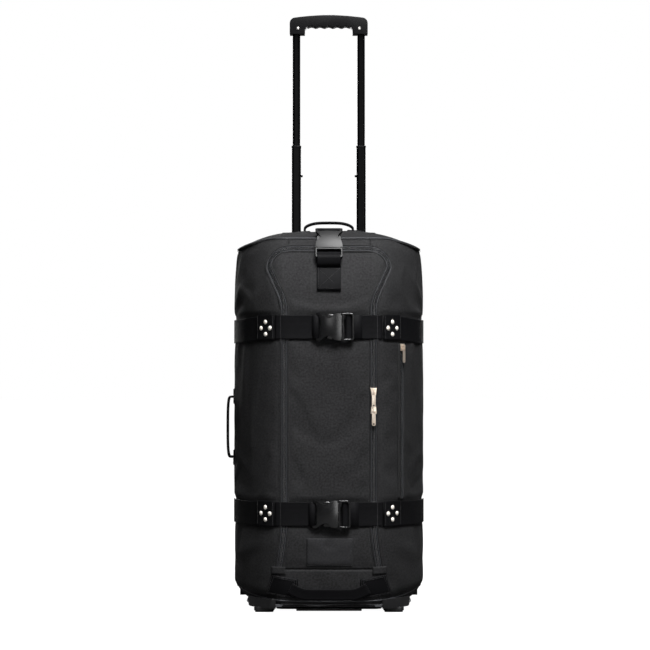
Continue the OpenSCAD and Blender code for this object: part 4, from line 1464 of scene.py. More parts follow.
@dataclass
class Zips:
    """The hourglass zip between flap and walls, and the side pocket's zip."""

    skin: Skin
    low_z: float = 88.0
    tape: float = 7.4
    lip: float = 7.2
    lip_radius: float = 1.35
    seam: float = 10.0
    pocket_x: float = 141.0
    pocket_z: tuple[float, float] = (222.0, 530.0)

    def hourglass(self) -> Track:
        """Lay the path up the right edge of the flap, over its top and down the left."""
        z = np.arange(self.low_z, FORM.shoulder_z, 4.0)
        x = FORM.flap_half(z)
        turn = np.linspace(0, math.pi / 2, 18)
        right_x = np.concatenate([x, FORM.shoulder_x + FORM.shoulder_round * np.cos(turn)])
        right_z = np.concatenate([z, FORM.shoulder_z + FORM.shoulder_round * np.sin(turn)])
        s = np.array([FORM.round_at(a) for a in right_x])
        across = np.linspace(76, -76, 39)
        s = np.concatenate([s, across, -s[::-1]])
        z = np.concatenate([right_z, np.full(len(across), FORM.crown_z), right_z[::-1]])
        return self.skin.wall(s, z, smooth=6)

    def row(self, node: str, body: str, path: Track, sides: Sequence[int]) -> None:
        """Make a zip's tapes, teeth, rolled lips with their cords, and stitches.

        Args:
            node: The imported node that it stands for, which also starts its pieces' names.
            body: The body that it rides on.
            path: Its middle line.
            sides: The sides that it has: 1 for the left of the line as seen from outside, -1 for the right.
        """
        def beside(across: float, out: float = 0.0) -> list[Track]:
            """Give the middle line moved to each side."""
            return [path.moved(side * across, out) for side in sides]

        tape, lip = flat_profile(self.tape, -0.6, 0.9, 0.3), round_profile(self.lip_radius, sides=10)
        sweep(node + "_tape", beside(self.tape / 2 + 0.25), tape, body, [node], ZIP_TAPE)
        ZIP_COIL.run(node + "_teeth", beside(1.35, 1.3), body, TEETH, "zip_tape")
        sweep(node + "_lips", beside(self.lip, 1.2), lip, body, (), CHARCOAL)
        FINE_CORD.run(node + "_cords", beside(self.lip - 2.6, 1.05), body, PIPING, "piping_black")
        STITCHES.run(node + "_stitches", beside(self.seam, 0.9), body, slot="zip_tape")

    def build(self) -> None:
        """Make both zips, the fold over the pocket's zip, and the main zip's ends."""
        main_zip = self.hourglass()
        pocket_s = FORM.round_at(self.pocket_x)
        pocket = self.skin.wall(pocket_s, np.arange(self.pocket_z[0], self.pocket_z[1], 4.0), smooth=5)
        self.row("flap_zip", "flap", main_zip, (1,))
        self.row("body_zip", "bag", main_zip, (-1,))
        self.row("side_zip", "bag", pocket, (1, -1))
        sweep("pocket_fold", [pocket.moved(8.2, 0.8)], flat_profile(6.4, -1.2, 1.6, 0.6), "bag", (),
              CHARCOAL)
        self.ends()

    def ends(self) -> None:
        """Make the cloth garages that the main zip's ends run into."""
        for sign, name in ((1, "right"), (-1, "left")):
            half = float(FORM.flap_half(np.array([self.low_z]))[0])
            corners = [(sign * half - 13, 77), (sign * half + 13, 77), (sign * half + 13, 92),
                       (sign * half - 13, 92)]
            corners = [(math.copysign(FORM.round_at(abs(s)), s), z) for s, z in corners]
            patch = sewn_patch(f"zip_end_{name}", self.skin.wall, corners, 1.2, 3.4, 8)
            place_piece(patch, "bag", CHARCOAL)


@dataclass
class Piping:
    """The piped seams around the top and along the base."""

    def ring(self, height: Callable[[np.ndarray], np.ndarray], tilt: float) -> Track:
        """Run once round the bag, starting behind the tubes.

        Args:
            height: Gives the heights at places round the plan.
            tilt: How far the cord's outer side turns up.

        Returns:
            The path.
        """
        end = FORM.lengths()[-1]
        s = np.linspace(-end, end, 420)
        z = height(s)
        points = FORM.at(s, z)
        normals = np.array([FORM.outward(np.clip(a, -end + 3, end - 3), b) for a, b in zip(s, z)])
        normals[:, 2] += tilt
        normals /= np.linalg.norm(normals, axis=1, keepdims=True)
        return Track(points + normals * 0.9, normals)

    def build(self) -> None:
        """Make the cords and their stitched flanges."""
        top = self.ring(lambda s: FORM.seam_z(np.abs(FORM.at(s, np.full_like(s, 716.0))[:, 0])), 0.6)
        base = self.ring(FORM.base_seam, 0.0)
        PIPING_CORD.run("piping", [top, base], "bag", PIPING, "piping_black", ["seam_piping"])
        seams = [top.moved(-3.6, -0.2), base.moved(-3.4, 0.3), base.moved(4.2, 0.3)]
        STITCHES.run("piping_stitches", seams, "bag", slot="piping_black")


def fillet(corners: Sequence[tuple[float, float, float]], steps: int = 5) -> list[tuple[float, float]]:
    """Round an outline's corners.

    Args:
        corners: Each corner's two coordinates, and how far from it the round begins.
        steps: How many places each round has.

    Returns:
        The outline's places.
    """
    outline = []
    for index, (x, z, reach) in enumerate(corners):
        corner = Vector((x, z))
        before = Vector(corners[index - 1][:2]) - corner
        after = Vector(corners[(index + 1) % len(corners)][:2]) - corner
        start = corner + before.normalized() * min(reach, before.length * 0.48)
        end = corner + after.normalized() * min(reach, after.length * 0.48)
        for k in range(steps):
            t = k / (steps - 1)
            outline.append(tuple(start * (1 - t) ** 2 + corner * 2 * t * (1 - t) + end * t ** 2))
    return outline


def half_turn(x: float, y: float, radius: float, start: float) -> list[tuple[float, float]]:
    """Give the places of a half turn round a bar, in the sense of falling angles.

    Args:
        x: The bar's middle, along the first axis.
        y: The bar's middle, along the second axis.
        radius: How far from the middle they are.
        start: The angle of the first.

    Returns:
        The places.
    """
    turn = np.linspace(start, start - math.pi, 13)
    return [(x + radius * math.cos(a), y + radius * math.sin(a)) for a in turn]


@dataclass
class Buckle:
    """A side-release buckle, drawn with its strap along X, its mouth towards +X and its front towards -Y."""

    place: Matrix
    half: float = 27.0
    depth: float = 6.0
    plug_depth: float = 4.3
    socket_bar: float = -35.0
    socket_bar_y: float = 3.8
    plug_bar: float = 24.0
    plug_bar_y: float = 2.2
    socket_loop_radius: float = 3.1
    plug_loop_radius: float = 2.95

    def put(self, points: Iterable[Sequence[float]]) -> np.ndarray:
        """Move places from the buckle's own axes onto the bag."""
        return np.array([self.place @ Vector(p) for p in points])

    def prism(
        self, name: str, outline: Sequence[tuple[float, float]], low: float, high: float,
    ) -> bpy.types.Object:
        """Raise an outline in X and Z between two depths in Y, and give the closed piece."""
        count = len(outline)
        points = [(x, y, z) for y in (low, high) for x, z in outline]
        faces = [(k, (k + 1) % count, count + (k + 1) % count, count + k) for k in range(count)]
        faces += [tuple(range(count))[::-1], tuple(range(count, 2 * count))]
        return make_piece(name, self.put(points), faces)

    def crown(self, name: str, low: float, high: float) -> bpy.types.Object:
        """Make a slab with a crowned front, which gives a socket its curve."""
        count = 13
        x, z = np.meshgrid(np.linspace(low, high, count), np.linspace(-30, 30, count))
        y = -self.depth - 0.4 + 2.2 * ((x + 6) / 20) ** 2 + 1.6 * (z / self.half) ** 2
        front = np.stack([x, y, z], axis=-1).reshape(-1, 3)
        back = np.stack([x, np.full_like(x, self.depth), z], axis=-1).reshape(-1, 3)
        base = count * count
        faces = weave_grid(count, count)
        faces += [tuple(base + k for k in face)[::-1] for face in weave_grid(count, count)]
        rim = [*range(count), *(count * k + count - 1 for k in range(1, count)),
               *(base - 1 - k for k in range(1, count)), *(count * k for k in range(count - 2, 0, -1))]
        faces += [(a, base + a, base + b, b) for a, b in zip(rim, rim[1:] + rim[:1])]
        return make_piece(name, self.put(np.concatenate([front, back])), faces)

    @staticmethod
    def carve(piece: bpy.types.Object, tool: bpy.types.Object, how: str) -> None:
        """Cut a piece with a tool, which is then removed.

        Args:
            piece: The piece.
            tool: The tool.
            how: The Boolean modifier's operation.
        """
        cut = piece.modifiers.new("cut", "BOOLEAN")
        cut.operation = how
        cut.solver = "EXACT"
        cut.object = tool
        settle(piece)
        bpy.data.objects.remove(tool)

    @staticmethod
    def box(x: tuple[float, float], z: tuple[float, float]) -> list[tuple[float, float]]:
        """Outline a rectangle."""
        return [(x[0], z[0]), (x[1], z[0]), (x[1], z[1]), (x[0], z[1])]

    def socket(self, name: str) -> bpy.types.Object:
        """Make the socket: a crowned shell with a long notch and a horn on each side."""
        half = self.half
        side = [(-28.5, half - 5.5, 1.0), (-37.0, half - 4.6, 1.5), (-37.0, half, 2.6), (-31.0, half, 5.0),
                (-15.0, 17.0, 6.0), (-7.5, 17.0, 3.5), (-2.5, half - 1.6, 4.5), (12.5, half, 2.5)]
        corners = side + [(x, -z, reach) for x, z, reach in side[::-1]]
        piece = self.prism(name, fillet(corners), -self.depth - 1, self.depth)
        self.carve(piece, self.crown("crown", -40, 20), "INTERSECT")
        tool = self.prism("cavity", self.box((-19.0, 20.0), (-half + 1.8, half - 1.8)), -3.5, 3.5)
        self.carve(piece, tool, "DIFFERENCE")
        soften(piece, 1.1, 3, 40)
        bar = self.prism("bar", self.box((-36.8, -33.2), (-half + 2, half - 2)), 2.0, 5.6)
        return joined(piece, soften(bar, 1.2, 3))

    def plug(self, name: str) -> bpy.types.Object:
        """Make the plug: a ladder frame with a tongue and two arms that end in oval pads."""
        half, deep = self.half, self.plug_depth
        frame_corners = [(13.3, -half, 1.6), (37.0, -half, 6.0), (37.0, half, 6.0), (13.3, half, 1.6)]
        piece = self.prism(name, fillet(frame_corners), -deep, deep)
        window = fillet([(17.0, -half + 3.6, 1.2), (32.8, -half + 3.6, 3.5), (32.8, half - 3.6, 3.5),
                         (17.0, half - 3.6, 1.2)])
        self.carve(piece, self.prism("window", window, -9, 9), "DIFFERENCE")
        soften(piece, 1.2, 3, 30)
        parts = [soften(self.prism("bar", self.box((22.1, 25.9), (-half + 3, half - 3)), 0.4, 4.0), 1.3, 3),
                 soften(self.prism("tongue", self.box((-4.0, 14.0), (-5.0, 5.0)), -2.9, 2.9), 1.0)]
        for sign in (1, -1):
            arm = [(14.0, sign * 20.5), (-12.0, sign * 20.0), (-12.0, sign * 16.2), (14.0, sign * 15.0)]
            parts.append(soften(self.prism("arm", arm, -2.9, 2.9), 1.0))
            pad = [(-8.6 + 8.2 * math.cos(a), sign * (20.6 + 4.3 * math.sin(a)))
                   for a in (2 * math.pi * k / 28 for k in range(28))]
            parts.append(soften(self.prism("pad", pad, -3.3, 3.3), 1.6, 4))
        for part in parts:
            piece = joined(piece, part)
        return piece

    def bent(self, flat: Sequence[tuple[float, float]], side: int) -> Track:
        """Turn a line in the buckle's X and Y into a path for a strap.

        Args:
            flat: The line's places.
            side: 1 or -1, for the side of the line that is the strap's outer side.

        Returns:
            The path.
        """
        line = np.array(flat)
        slope = np.gradient(line, axis=0)
        out = np.stack([-slope[:, 1], slope[:, 0], np.zeros(len(line))], axis=1) * side
        points = self.put([(x, y, 0.0) for x, y in line])
        turned = np.array([self.place.to_3x3() @ Vector(n) for n in out])
        return Track(points, turned / np.linalg.norm(turned, axis=1, keepdims=True))

    def socket_loop(self, tail: float) -> Track:
        """Run a strap's end round the socket's bar and a short way back."""
        loop = half_turn(self.socket_bar, self.socket_bar_y, self.socket_loop_radius, math.pi / 2)
        end = loop[-1]
        return self.bent([*loop, (end[0] - tail / 2, end[1] + 0.6), (end[0] - tail, end[1] + 2.0)], -1)

    def plug_loop(self, wrapped: bool) -> Track:
        """Run a strap's end over the plug's bar.

        Args:
            wrapped: Whether it also covers the frame's outer bar, as a pulled-tight strap does.

        Returns:
            The path.
        """
        x, y = self.plug_bar, self.plug_bar_y
        loop = half_turn(x, y, self.plug_loop_radius, -math.pi / 2)
        if wrapped:
            lead = [(x + 27, y + 6.4), (x + 21, y + 1.0), (x + 15, y - 6.6), (x + 10, y - 7.9),
                    (x + 5, y - 5.2)]
            tail = [(x + 6, y + 3.3), (x + 16, y + 4.6), (x + 26, y + 6.8)]
        else:
            lead = [(x + 11.5, y + 1.4), (x + 9, y - 0.2), (x + 6, y - 1.9), (x + 3, y - 2.8)]
            tail = [(x + 8, y + 3.0), (x + 18, y + 3.1), (x + 29, y + 3.3)]
        return self.bent([*lead, *loop, *tail], 1)

    def build(self, name: str, finish: Moulding) -> None:
        """Make both halves of one of the three buckles.

        Args:
            name: The start of its pieces' names.
            finish: Its finish.
        """
        socket = evened(self.socket(f"{name}_socket"))
        place_piece(socket, "flap", finish, [f"{name}_buckle_socket"])
        plug = evened(self.plug(f"{name}_plug_half"))
        place_piece(plug, f"{name}_plug", finish, [f"{name}_buckle_plug"])


@dataclass
class Straps:
    """The two compression straps, their riveted tabs, the strap over the top and the badge patch."""

    skin: Skin
    width: float = 47.0
    thick: float = 1.8
    free_share: float = 0.985
    low: float = 2.2
    rows: tuple[float, float] = STRAP_ROWS
    buckle_x: tuple[float, float] = (12.0, 5.0)
    buckle_y: float = -188.2
    split_x: float = 104.3
    side_drop: tuple[float, float] = (6.0, 3.0)
    side_end_y: float = 120.0
    top_z: float = 718.0
    top_lean: float = 33.0
    top_lift: float = 10.8
    tab_x: tuple[float, float] = (104.9, 138.0)
    rivet_x: float = 121.0
    rivet_step: tuple[float, float] = (8.5, 12.0)

    def ribbon(self) -> list[tuple[float, float]]:
        """Give the strap's outline."""
        return flat_profile(self.width, self.low, self.low + self.thick, 0.45)

    def front(self) -> None:
        """Make the straps that ride on the flap, looped round the sockets' bars."""
        tracks = []
        edge = FORM.round_at(self.split_x)
        middle = self.low + self.thick / 2
        for row, place in zip(self.rows, self.buckle_x):
            buckle = Buckle(Matrix.Translation((place, self.buckle_y, row)))
            left_s = np.arange(-edge, place + buckle.socket_bar - 6, 4.0)
            left = self.skin.wall(left_s, row, 6).moved(0, middle)
            loop = buckle.socket_loop(9.0)
            tracks.append(Track(np.concatenate([left.points, loop.points]),
                                np.concatenate([left.normals, loop.normals])))
            right_s = np.arange(place + buckle.plug_bar - 4, edge, 4.0)
            tracks.append(self.skin.wall(right_s, row, 6).moved(0, middle))
        sweep("front_webbing", tracks, self.thin_ribbon(), "flap", ["front_straps"])

    def thin_ribbon(self) -> list[tuple[float, float]]:
        """Give the strap's outline about its own middle, for a path that leaves the skin."""
        return [(a * self.free_share, b - self.low - self.thick / 2) for a, b in self.ribbon()]

    def sides(self) -> None:
        """Make the straps' side runs, which stay on the bag."""
        start = FORM.round_at(self.split_x + 0.6)
        plan, lengths = FORM.plan(), FORM.lengths()
        straight = (plan[:, 0] > 189.5) & (plan[:, 1] < self.side_end_y + 1)
        end = float(lengths[straight].max())
        s = np.arange(start, end, 4.0)
        tracks, seams = [], []
        for row, drop in zip(self.rows, self.side_drop):
            z = row - drop * np.clip((s - start) / 120.0, 0, 1)
            for sign in (1, -1):
                ordered = s if sign > 0 else -s[::-1]
                heights = z if sign > 0 else z[::-1]
                track = self.skin.wall(ordered, heights, 6)
                tracks.append(track)
                cut = len(s) - 3 if sign > 0 else 2
                point, out = track.points[cut], track.normals[cut]
                rise = np.arange(-20.0, 20.1, 3.0)[:, None] * np.array([0.0, 0.0, 1.0])
                seam = point + rise + out * (self.low + self.thick)
                seams.append(Track(seam, np.tile(out, (len(rise), 1))))
        sweep("side_webbing", tracks, self.ribbon(), "bag", ["side_straps"])
        ZIGZAG.run("side_strap_stitches", seams, "bag")

    def stud(self, s: float, z: float, height: float) -> Track:
        """Give one rivet's place over the skin."""
        out = FORM.outward(s, z)
        point = self.skin.drop(FORM.at(np.array([s]), np.array([z]))[0], out) + out * height
        return Track(point[None], out[None])

    def tabs(self) -> None:
        """Make the riveted tabs with their stitched ends, and the rivets."""
        low, high = (FORM.round_at(x) for x in self.tab_x)
        height = self.low + self.thick + 0.2
        pieces, seams, studs = [], [], []
        for row_index, row in enumerate(self.rows):
            for sign in (1, -1):
                s = np.linspace(low, high, 9) * sign
                if sign < 0:
                    s = s[::-1]
                pieces.append(self.skin.wall(s, row, 2))
                for place in (low + 2.5, high - 2.5):
                    seams.append(straight_track(
                        self.skin.wall, (sign * place, row - 21), (sign * place, row + 21), height + 1.7))
                for across, up in ((-1, 0), (1, 0), (0, -1), (0, 1)):
                    x = self.rivet_x + across * self.rivet_step[0]
                    z = row - 2 * (row_index == 0) + up * self.rivet_step[1]
                    studs.append(self.stud(sign * FORM.round_at(x), z, height + 1.5))
        profile = flat_profile(self.width + 1.6, height, height + 1.5, 0.4)
        sweep("rivet_tabs_webbing", pieces, profile, "bag", ["rivet_tabs"])
        ZIGZAG.run("tab_stitches", seams, "bag")
        # The rivet caps' finish paints their highlight as a bright diffuse colour.
        RIVETS.run("rivet_caps", studs, "bag", RIVET_NICKEL_PAINTED_SHINE, "rivet_nickel", ["rivets"])

    def buckles(self) -> None:
        """Make the three buckles and the strap ends that come back over the plugs' bars."""
        for row, place, name in zip(self.rows, self.buckle_x, ("upper", "lower")):
            buckle = Buckle(Matrix.Translation((place, self.buckle_y, row)))
            buckle.build(name, BUCKLE_BLACK)
            sweep(f"{name}_webbing_tail", [buckle.plug_loop(False)], self.thin_ribbon(), f"{name}_plug",
                  [f"{name}_strap_tail"])
        slope = float(FORM.face_y(np.array(self.top_z)))
        top = Buckle(
            Matrix.Translation((0, slope, self.top_z)) @ Matrix.Rotation(math.radians(-self.top_lean), 4, "X")
            @ Matrix.Translation((0, -self.top_lift, 0)) @ Matrix.Rotation(math.pi / 2, 4, "Y"))
        top.build("top", BUCKLE_SATIN)
        sweep("top_webbing_tail", [top.plug_loop(True)], self.thin_ribbon(), "top_plug")
        self.wrap(np.array(top.place @ Vector((top.socket_bar, top.socket_bar_y, 0))))

    def wrap(self, bar: np.ndarray) -> None:
        """Wrap the top strap's end round the top socket's bar.

        Args:
            bar: The bar's middle.
        """
        loop = half_turn(bar[1], bar[2], Buckle.socket_loop_radius, -math.pi / 2)
        flat = [(bar[1] + 28, bar[2] - 3.6), (bar[1] + 18, bar[2] - 3.4), (bar[1] + 8, bar[2] - 3.15), *loop,
                (bar[1] + 8, bar[2] + 3.0), (bar[1] + 20, bar[2] + 1.6)]
        points = np.array([(0.0, y, z) for y, z in flat])
        slope = np.gradient(points, axis=0)
        normals = np.stack([np.zeros(len(points)), slope[:, 2], -slope[:, 1]], axis=1)
        track = Track(points, normals / np.linalg.norm(normals, axis=1, keepdims=True))
        sweep("top_webbing_wrap", [track], self.thin_ribbon(), "flap")

    def over_top(self) -> None:
        """Make the strap that runs from the flap's stitched box over the seam onto the top."""
        z = np.arange(629.0, 706.0, 4.0)
        sweep("flap_webbing", [self.skin.wall(0.0, z, 4)], self.ribbon(), "flap", ["flap_strap"])
        height = self.low + self.thick + 0.25
        box = [(-20.5, 632.5), (20.5, 632.5), (20.5, 671.0), (-20.5, 671.0)]
        lines = [straight_track(self.skin.wall, a, b, height) for a, b in zip(box, box[1:] + box[:1])]
        lines += [straight_track(self.skin.wall, box[0], box[2], height),
                  straight_track(self.skin.wall, box[1], box[3], height)]
        STITCHES.run("box_stitches", lines, "flap")
        y = np.arange(-94.0, -46.0, 4.0)
        sweep("dome_webbing", [self.skin.above(0.0, y, 4)], self.ribbon(), "bag", ["dome_strap"])
        ends = [straight_track(self.skin.above, (-20, place), (20, place), height)
                for place in (y[-1] - 4.0, y[-1] - 9.0)]
        STITCHES.run("dome_stitches", ends, "bag")

    def badge(self) -> None:
        """Make the blank badge patch with its stitched edge."""
        corners = [(-44, 93), (46, 93), (46, 147), (-44, 147)]
        patch = sewn_patch("blank_badge", self.skin.wall, corners, 0.2, 1.5, 22)
        place_piece(patch, "flap", BADGE, ["badge_patch"])
        lines = outline_track(self.skin.wall, corners, 2.2, 1.6)
        STITCHES.run("badge_stitches", lines, "flap", slot="badge_cloth")

    def build(self) -> None:
        """Make every strap, tab, rivet and patch."""
        self.front()
        self.sides()
        self.tabs()
        self.buckles()
        self.over_top()
        self.badge()


@dataclass
class Handles:
    """The webbing carry handles and the grab band at the base, with their sewn patches."""

    skin: Skin
    width: float = 26.0
    thick: float = 4.2

    def bow(self, half: float, rise: float, arch: float) -> tuple[np.ndarray, np.ndarray]:
        """Give a bowed handle's middle line and outer directions in its own plane.

        Args:
            half: Half the distance between its ends.
            rise: How far it stands out.
            arch: How far it curves, from 0 for a square bow to 1 for a round one.

        Returns:
            The places and the outer directions as rows of two.
        """
        turn = np.linspace(0, math.pi, 33)
        x = -half * np.sign(np.cos(turn)) * np.abs(np.cos(turn)) ** 0.6
        z = rise * ((1 - arch) * np.sin(turn) ** (0.2 + 0.3 * arch) + arch * np.sin(turn) ** 2)
        points = np.stack([x, z - self.thick / 2], axis=1)
        slope = np.gradient(points, axis=0)
        normal = np.stack([-slope[:, 1], slope[:, 0]], axis=1)
        return points, normal / np.linalg.norm(normal, axis=1, keepdims=True)

    def carry(
        self, name: str, body: str, node: str, half: float, rise: float, arch: float,
        origin: Sequence[float], along: Sequence[float], out: Sequence[float],
    ) -> None:
        """Make one carry handle.

        Args:
            name: The piece's name.
            body: The body that it swings with.
            node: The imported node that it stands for.
            half: Half the distance between its ends.
            rise: How far it stands out of its hinge line.
            arch: How far it curves, from 0 for a square bow to 1 for a round one.
            origin: The middle of its hinge line.
            along: The hinge line's direction.
            out: The direction that it stands out in.
        """
        flat, normal = self.bow(half, rise, arch)
        start, run, away = (np.array(v, float) for v in (origin, along, out))
        points = start + flat[:, :1] * run + flat[:, 1:] * away
        normals = normal[:, :1] * run + normal[:, 1:] * away
        profile = flat_profile(self.width, -self.thick / 2, self.thick / 2, 0.9)
        track = Track(points, normals)
        sweep(name, [track], profile, body, [node])
        seams = [track.moved(side * (self.width / 2 - 3), self.thick / 2 + 0.15) for side in (1, -1)]
        STITCHES.run(name + "_stitches", seams, body)

    def patches(self) -> None:
        """Make the sewn patches that hold the handles and the grab band."""
        above, wall = self.skin.above, self.skin.wall
        side_s = -FORM.round_at(189.9) - 15.0
        top = [[(s * 52 - 15, -4), (s * 52 + 15, -4), (s * 52 + 15, 28), (s * 52 - 15, 28)] for s in (1, -1)]
        side = [[(side_s - 16, z - 16), (side_s + 16, z - 16), (side_s + 16, z + 16), (side_s - 16, z + 16)]
                for z in (297.0, 421.0)]
        grab = [(58, 28), (122, 38), (110, 77), (61, 68)]
        mirror = [(-x, z) for x, z in (grab[1], grab[0], grab[3], grab[2])]
        grab = [(math.copysign(FORM.round_at(abs(x)), x), z) for x, z in grab]
        mirror = [(math.copysign(FORM.round_at(abs(x)), x), z) for x, z in mirror]
        names = ("top_right", "top_left", "side_low", "side_high", "grab_right", "grab_left")
        lays = (above, above, wall, wall, wall, wall)
        lines = []
        for name, lay, corners in zip(names, lays, (*top, *side, grab, mirror)):
            patch = sewn_patch("patch_" + name, lay, corners, 0.3, 2.0, 10)
            place_piece(patch, "bag", WEBBING, ["handle_patches"])
            for inset in (2.4, 5.4):
                lines += outline_track(lay, corners, inset, 2.15)
        ZIGZAG.run("patch_stitches", lines, "bag")

    def build(self) -> None:
        """Make both carry handles, the grab band and every patch."""
        self.carry("top_webbing_handle", "top_handle", "top_carry_handle", 49.0, 15.5, 0.45,
                   (0, 12, 761.5), (1, 0, 0), (0, 0, 1))
        self.carry("side_webbing_handle", "side_handle", "side_carry_handle", 61.0, 12.5, 0.06,
                   (-195.5, 10, 359), (0, 0, 1), (-1, 0, 0))
        self.patches()
        s = np.arange(-76.0, 76.1, 4.0)
        sag = 38.5 + 12.0 * (np.clip(np.abs(s) - 46.0, 0, None) / 30.0) ** 1.6
        track = self.skin.wall(s, sag, 4)
        height = 2.1 + 2.2 * np.clip(1 - (s[:, None] / 62) ** 2, 0, None)
        band = Track(track.points + track.normals * height, track.normals)
        sweep("grab_band", [band], flat_profile(22.0, 0.0, 2.6, 0.7), "bag", ["bottom_grab_handle"])


# ---- hard parts ------------------------------------------------------------------------------------


@dataclass(frozen=True)
class HardPart:
    """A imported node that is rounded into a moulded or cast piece."""

    node: str
    body: str
    finish: Finish
    slot: str
    radius: float
    segments: int = 3


@dataclass
class HardParts:
    """The trolley, the wheels, the base and the zip sliders."""

    rounded: tuple[HardPart, ...] = (
        HardPart("base_tray", "bag", TRAY_BLACK, "moulded_black", 1.2),
        HardPart("front_feet", "bag", RUBBER, "foot_rubber", 1.6),
        HardPart("wheel_housings", "bag", TRAY_BLACK, "moulded_black", 6.0, 4),
        HardPart("skid_rails", "bag", TRAY_BLACK, "moulded_black", 1.0),
        HardPart("tube_bezel", "bag", TRAY_BLACK, "moulded_black", 1.5),
        HardPart("middle_collars", "lower_stage", GRIP_BLACK, "moulded_black", 0.6),
        HardPart("grip", "upper_stage", GRIP_BLACK, "grip_black", 3.2, 4),
        HardPart("grip_button", "release_button", BUTTON_GREY, "button_grey", 1.2),
        HardPart("left_tyre", "left_wheel", TYRE, "tyre_black", 0.8, 2),
        HardPart("right_tyre", "right_wheel", TYRE, "tyre_black", 0.8, 2),
        HardPart("left_hub", "left_wheel", HUB_GREY, "hub_grey", 0.7, 2),
        HardPart("right_hub", "right_wheel", HUB_GREY, "hub_grey", 0.7, 2),
        HardPart("main_slider_upper", "upper_slider", SLIDER_NICKEL, "slider_nickel", 0.5),
        HardPart("main_pull_upper", "upper_pull", SLIDER_NICKEL, "slider_nickel", 0.45),
        HardPart("main_slider_lower", "lower_slider", SLIDER_NICKEL, "slider_nickel", 0.5),
        HardPart("main_pull_lower", "lower_pull", SLIDER_NICKEL, "slider_nickel", 0.45),
        HardPart("side_slider", "pocket_slider", SLIDER_NICKEL, "slider_nickel", 0.5),
        HardPart("side_pull", "pocket_pull", SLIDER_NICKEL, "slider_nickel", 0.45),
    )
    plain: tuple[tuple[str, Finish], ...] = (
        ("base_screws", SCREW_STEEL), ("grip_screws", SCREW_STEEL), ("wheel_axles", SCREW_STEEL),
        ("left_bearings", SCREW_STEEL), ("right_bearings", SCREW_STEEL), ("button_spring", SCREW_STEEL),
        ("outer_tubes", TUBE_BLACK), ("middle_tubes", TUBE_BLACK), ("inner_tubes", TUBE_BLACK),
        ("lock_pins", GRIP_BLACK), ("tube_foot", TRAY_BLACK), ("bottom_panel", BOARD_GREY),
        ("handle_tunnel", BOARD_GREY),
    )

    def build(self) -> None:
        """Round the moulded parts, and give the others their finishes."""
        for part in self.rounded:
            piece = moulded_copy(part.node, part.radius, part.segments)
            place_piece(piece, part.body, part.finish, [part.node])
        for node, finish in self.plain:
            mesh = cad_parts[node].data
            mesh.materials.clear()
            mesh.materials.append(finish.material())
            LOG.info("%s: finish %s", node, finish.title)


# ---- studio ----------------------------------------------------------------------------------------


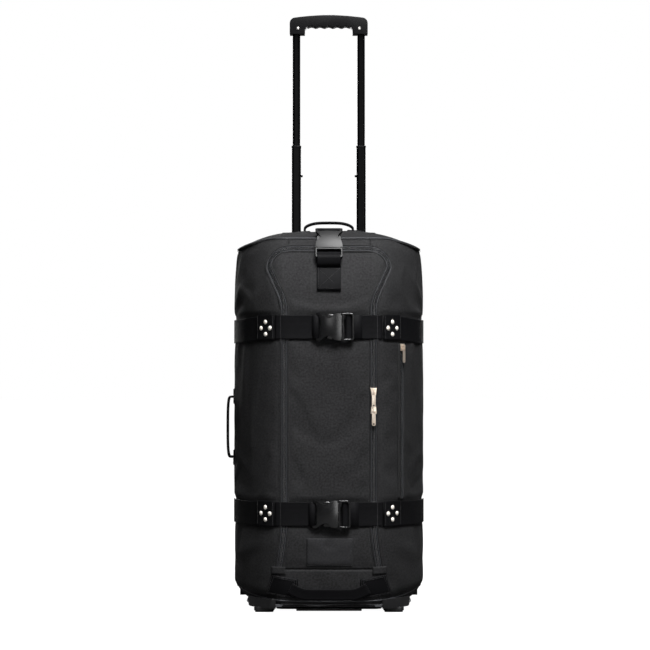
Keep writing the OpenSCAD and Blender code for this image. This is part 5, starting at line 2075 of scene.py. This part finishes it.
@dataclass
class Studio:
    """A pale floor, soft lights and the camera."""

    eye: tuple[float, float, float] = (-7.8, -4178.0, 470.0)
    aim: tuple[float, float, float] = (-7.8, -178.0, 562.0)
    lens: float = 113.6
    lamps: tuple[tuple[tuple[float, float, float], tuple[float, float, float], float, float, float], ...] = (
        ((500, -1700, 3000), (0, -60, 520), 1200, 1.0, 252),
        ((-300, -3800, 1300), (0, -60, 450), 1000, 1.0, 6),
        ((2600, -900, 1200), (0, 0, 500), 700, 1.0, 2),
        ((1250, -3600, 760), (0, -60, 500), 460, 4.2, 15),
        ((-1100, 3300, 1300), (0, 60, 450), 1200, 1.0, 42),
        ((900, 3400, 900), (0, 60, 400), 900, 1.0, 16),
    )
    sun: float = 1.1
    ambient: float = 0.03
    glow: float = 1.0

    def build(self) -> None:
        """Make the floor, the world, the lamps and the camera."""
        scene = bpy.context.scene
        scene.view_settings.view_transform = "Standard"
        reach = 30000.0
        corners = [(-reach, -reach, 0), (reach, -reach, 0), (reach, reach, 0), (-reach, reach, 0)]
        floor = make_piece("studio_floor", np.array(corners, float), [(0, 1, 2, 3)], outwards=False)
        graph = ShaderGraph("studio_floor")
        grain = graph.noise(graph.place("Object"), 400.0, 2.0)
        floor.data.materials.append(graph.finish(
            Base_Color=graph.blend(grain, (0.07, 0.07, 0.07), (0.09, 0.09, 0.09)), Roughness=0.6,
            Specular_IOR_Level=0.1, Emission_Color=(1.0, 1.0, 1.0, 1.0),
            Emission_Strength=Signal(graph, graph.node("ShaderNodeLightPath").outputs[0]) * self.glow))
        world = bpy.data.worlds.new("studio")
        world.use_nodes = True
        scene.world = world
        tree = world.node_tree
        back = tree.nodes["Background"]
        path = tree.nodes.new("ShaderNodeLightPath")
        level = tree.nodes.new("ShaderNodeMapRange")
        level.inputs["To Min"].default_value = self.ambient
        level.inputs["To Max"].default_value = 1.0
        tree.links.new(path.outputs["Is Camera Ray"], level.inputs["Value"])
        tree.links.new(level.outputs[0], back.inputs["Strength"])
        back.inputs["Color"].default_value = (1, 1, 1, 1)
        for index, (place, aim, size, tall, power) in enumerate(self.lamps):
            lamp = bpy.data.lights.new(f"lamp_{index}", "AREA")
            lamp.shape = "RECTANGLE"
            lamp.size = size * MM
            lamp.size_y = size * tall * MM
            lamp.energy = power
            holder = bpy.data.objects.new(lamp.name, lamp)
            scene.collection.objects.link(holder)
            holder.location = to_scene(place)
            holder.rotation_euler = (to_scene(aim) - holder.location).to_track_quat("-Z", "Y").to_euler()
        daylight = bpy.data.lights.new("overhead", "SUN")
        daylight.energy = self.sun
        daylight.angle = math.radians(50)
        overhead = bpy.data.objects.new("overhead", daylight)
        overhead.rotation_euler = (math.radians(28), 0.0, math.radians(-8))
        scene.collection.objects.link(overhead)
        camera = bpy.data.cameras.new("camera")
        camera.lens = self.lens
        camera.clip_end = 100.0
        holder = bpy.data.objects.new("camera", camera)
        scene.collection.objects.link(holder)
        holder.location = to_scene(self.eye)
        holder.rotation_euler = (to_scene(self.aim) - holder.location).to_track_quat("-Z", "Y").to_euler()
        scene.camera = holder


def main() -> None:
    """Build the bag from the skin outwards, then the studio."""
    logging.basicConfig(level=logging.INFO, format="%(name)s %(message)s")
    skin = SoftShell().build()
    Zips(skin).build()
    Piping().build()
    Straps(skin).build()
    Handles(skin).build()
    HardParts().build()
    Studio().build()


if __name__ == "__main__":
    main()
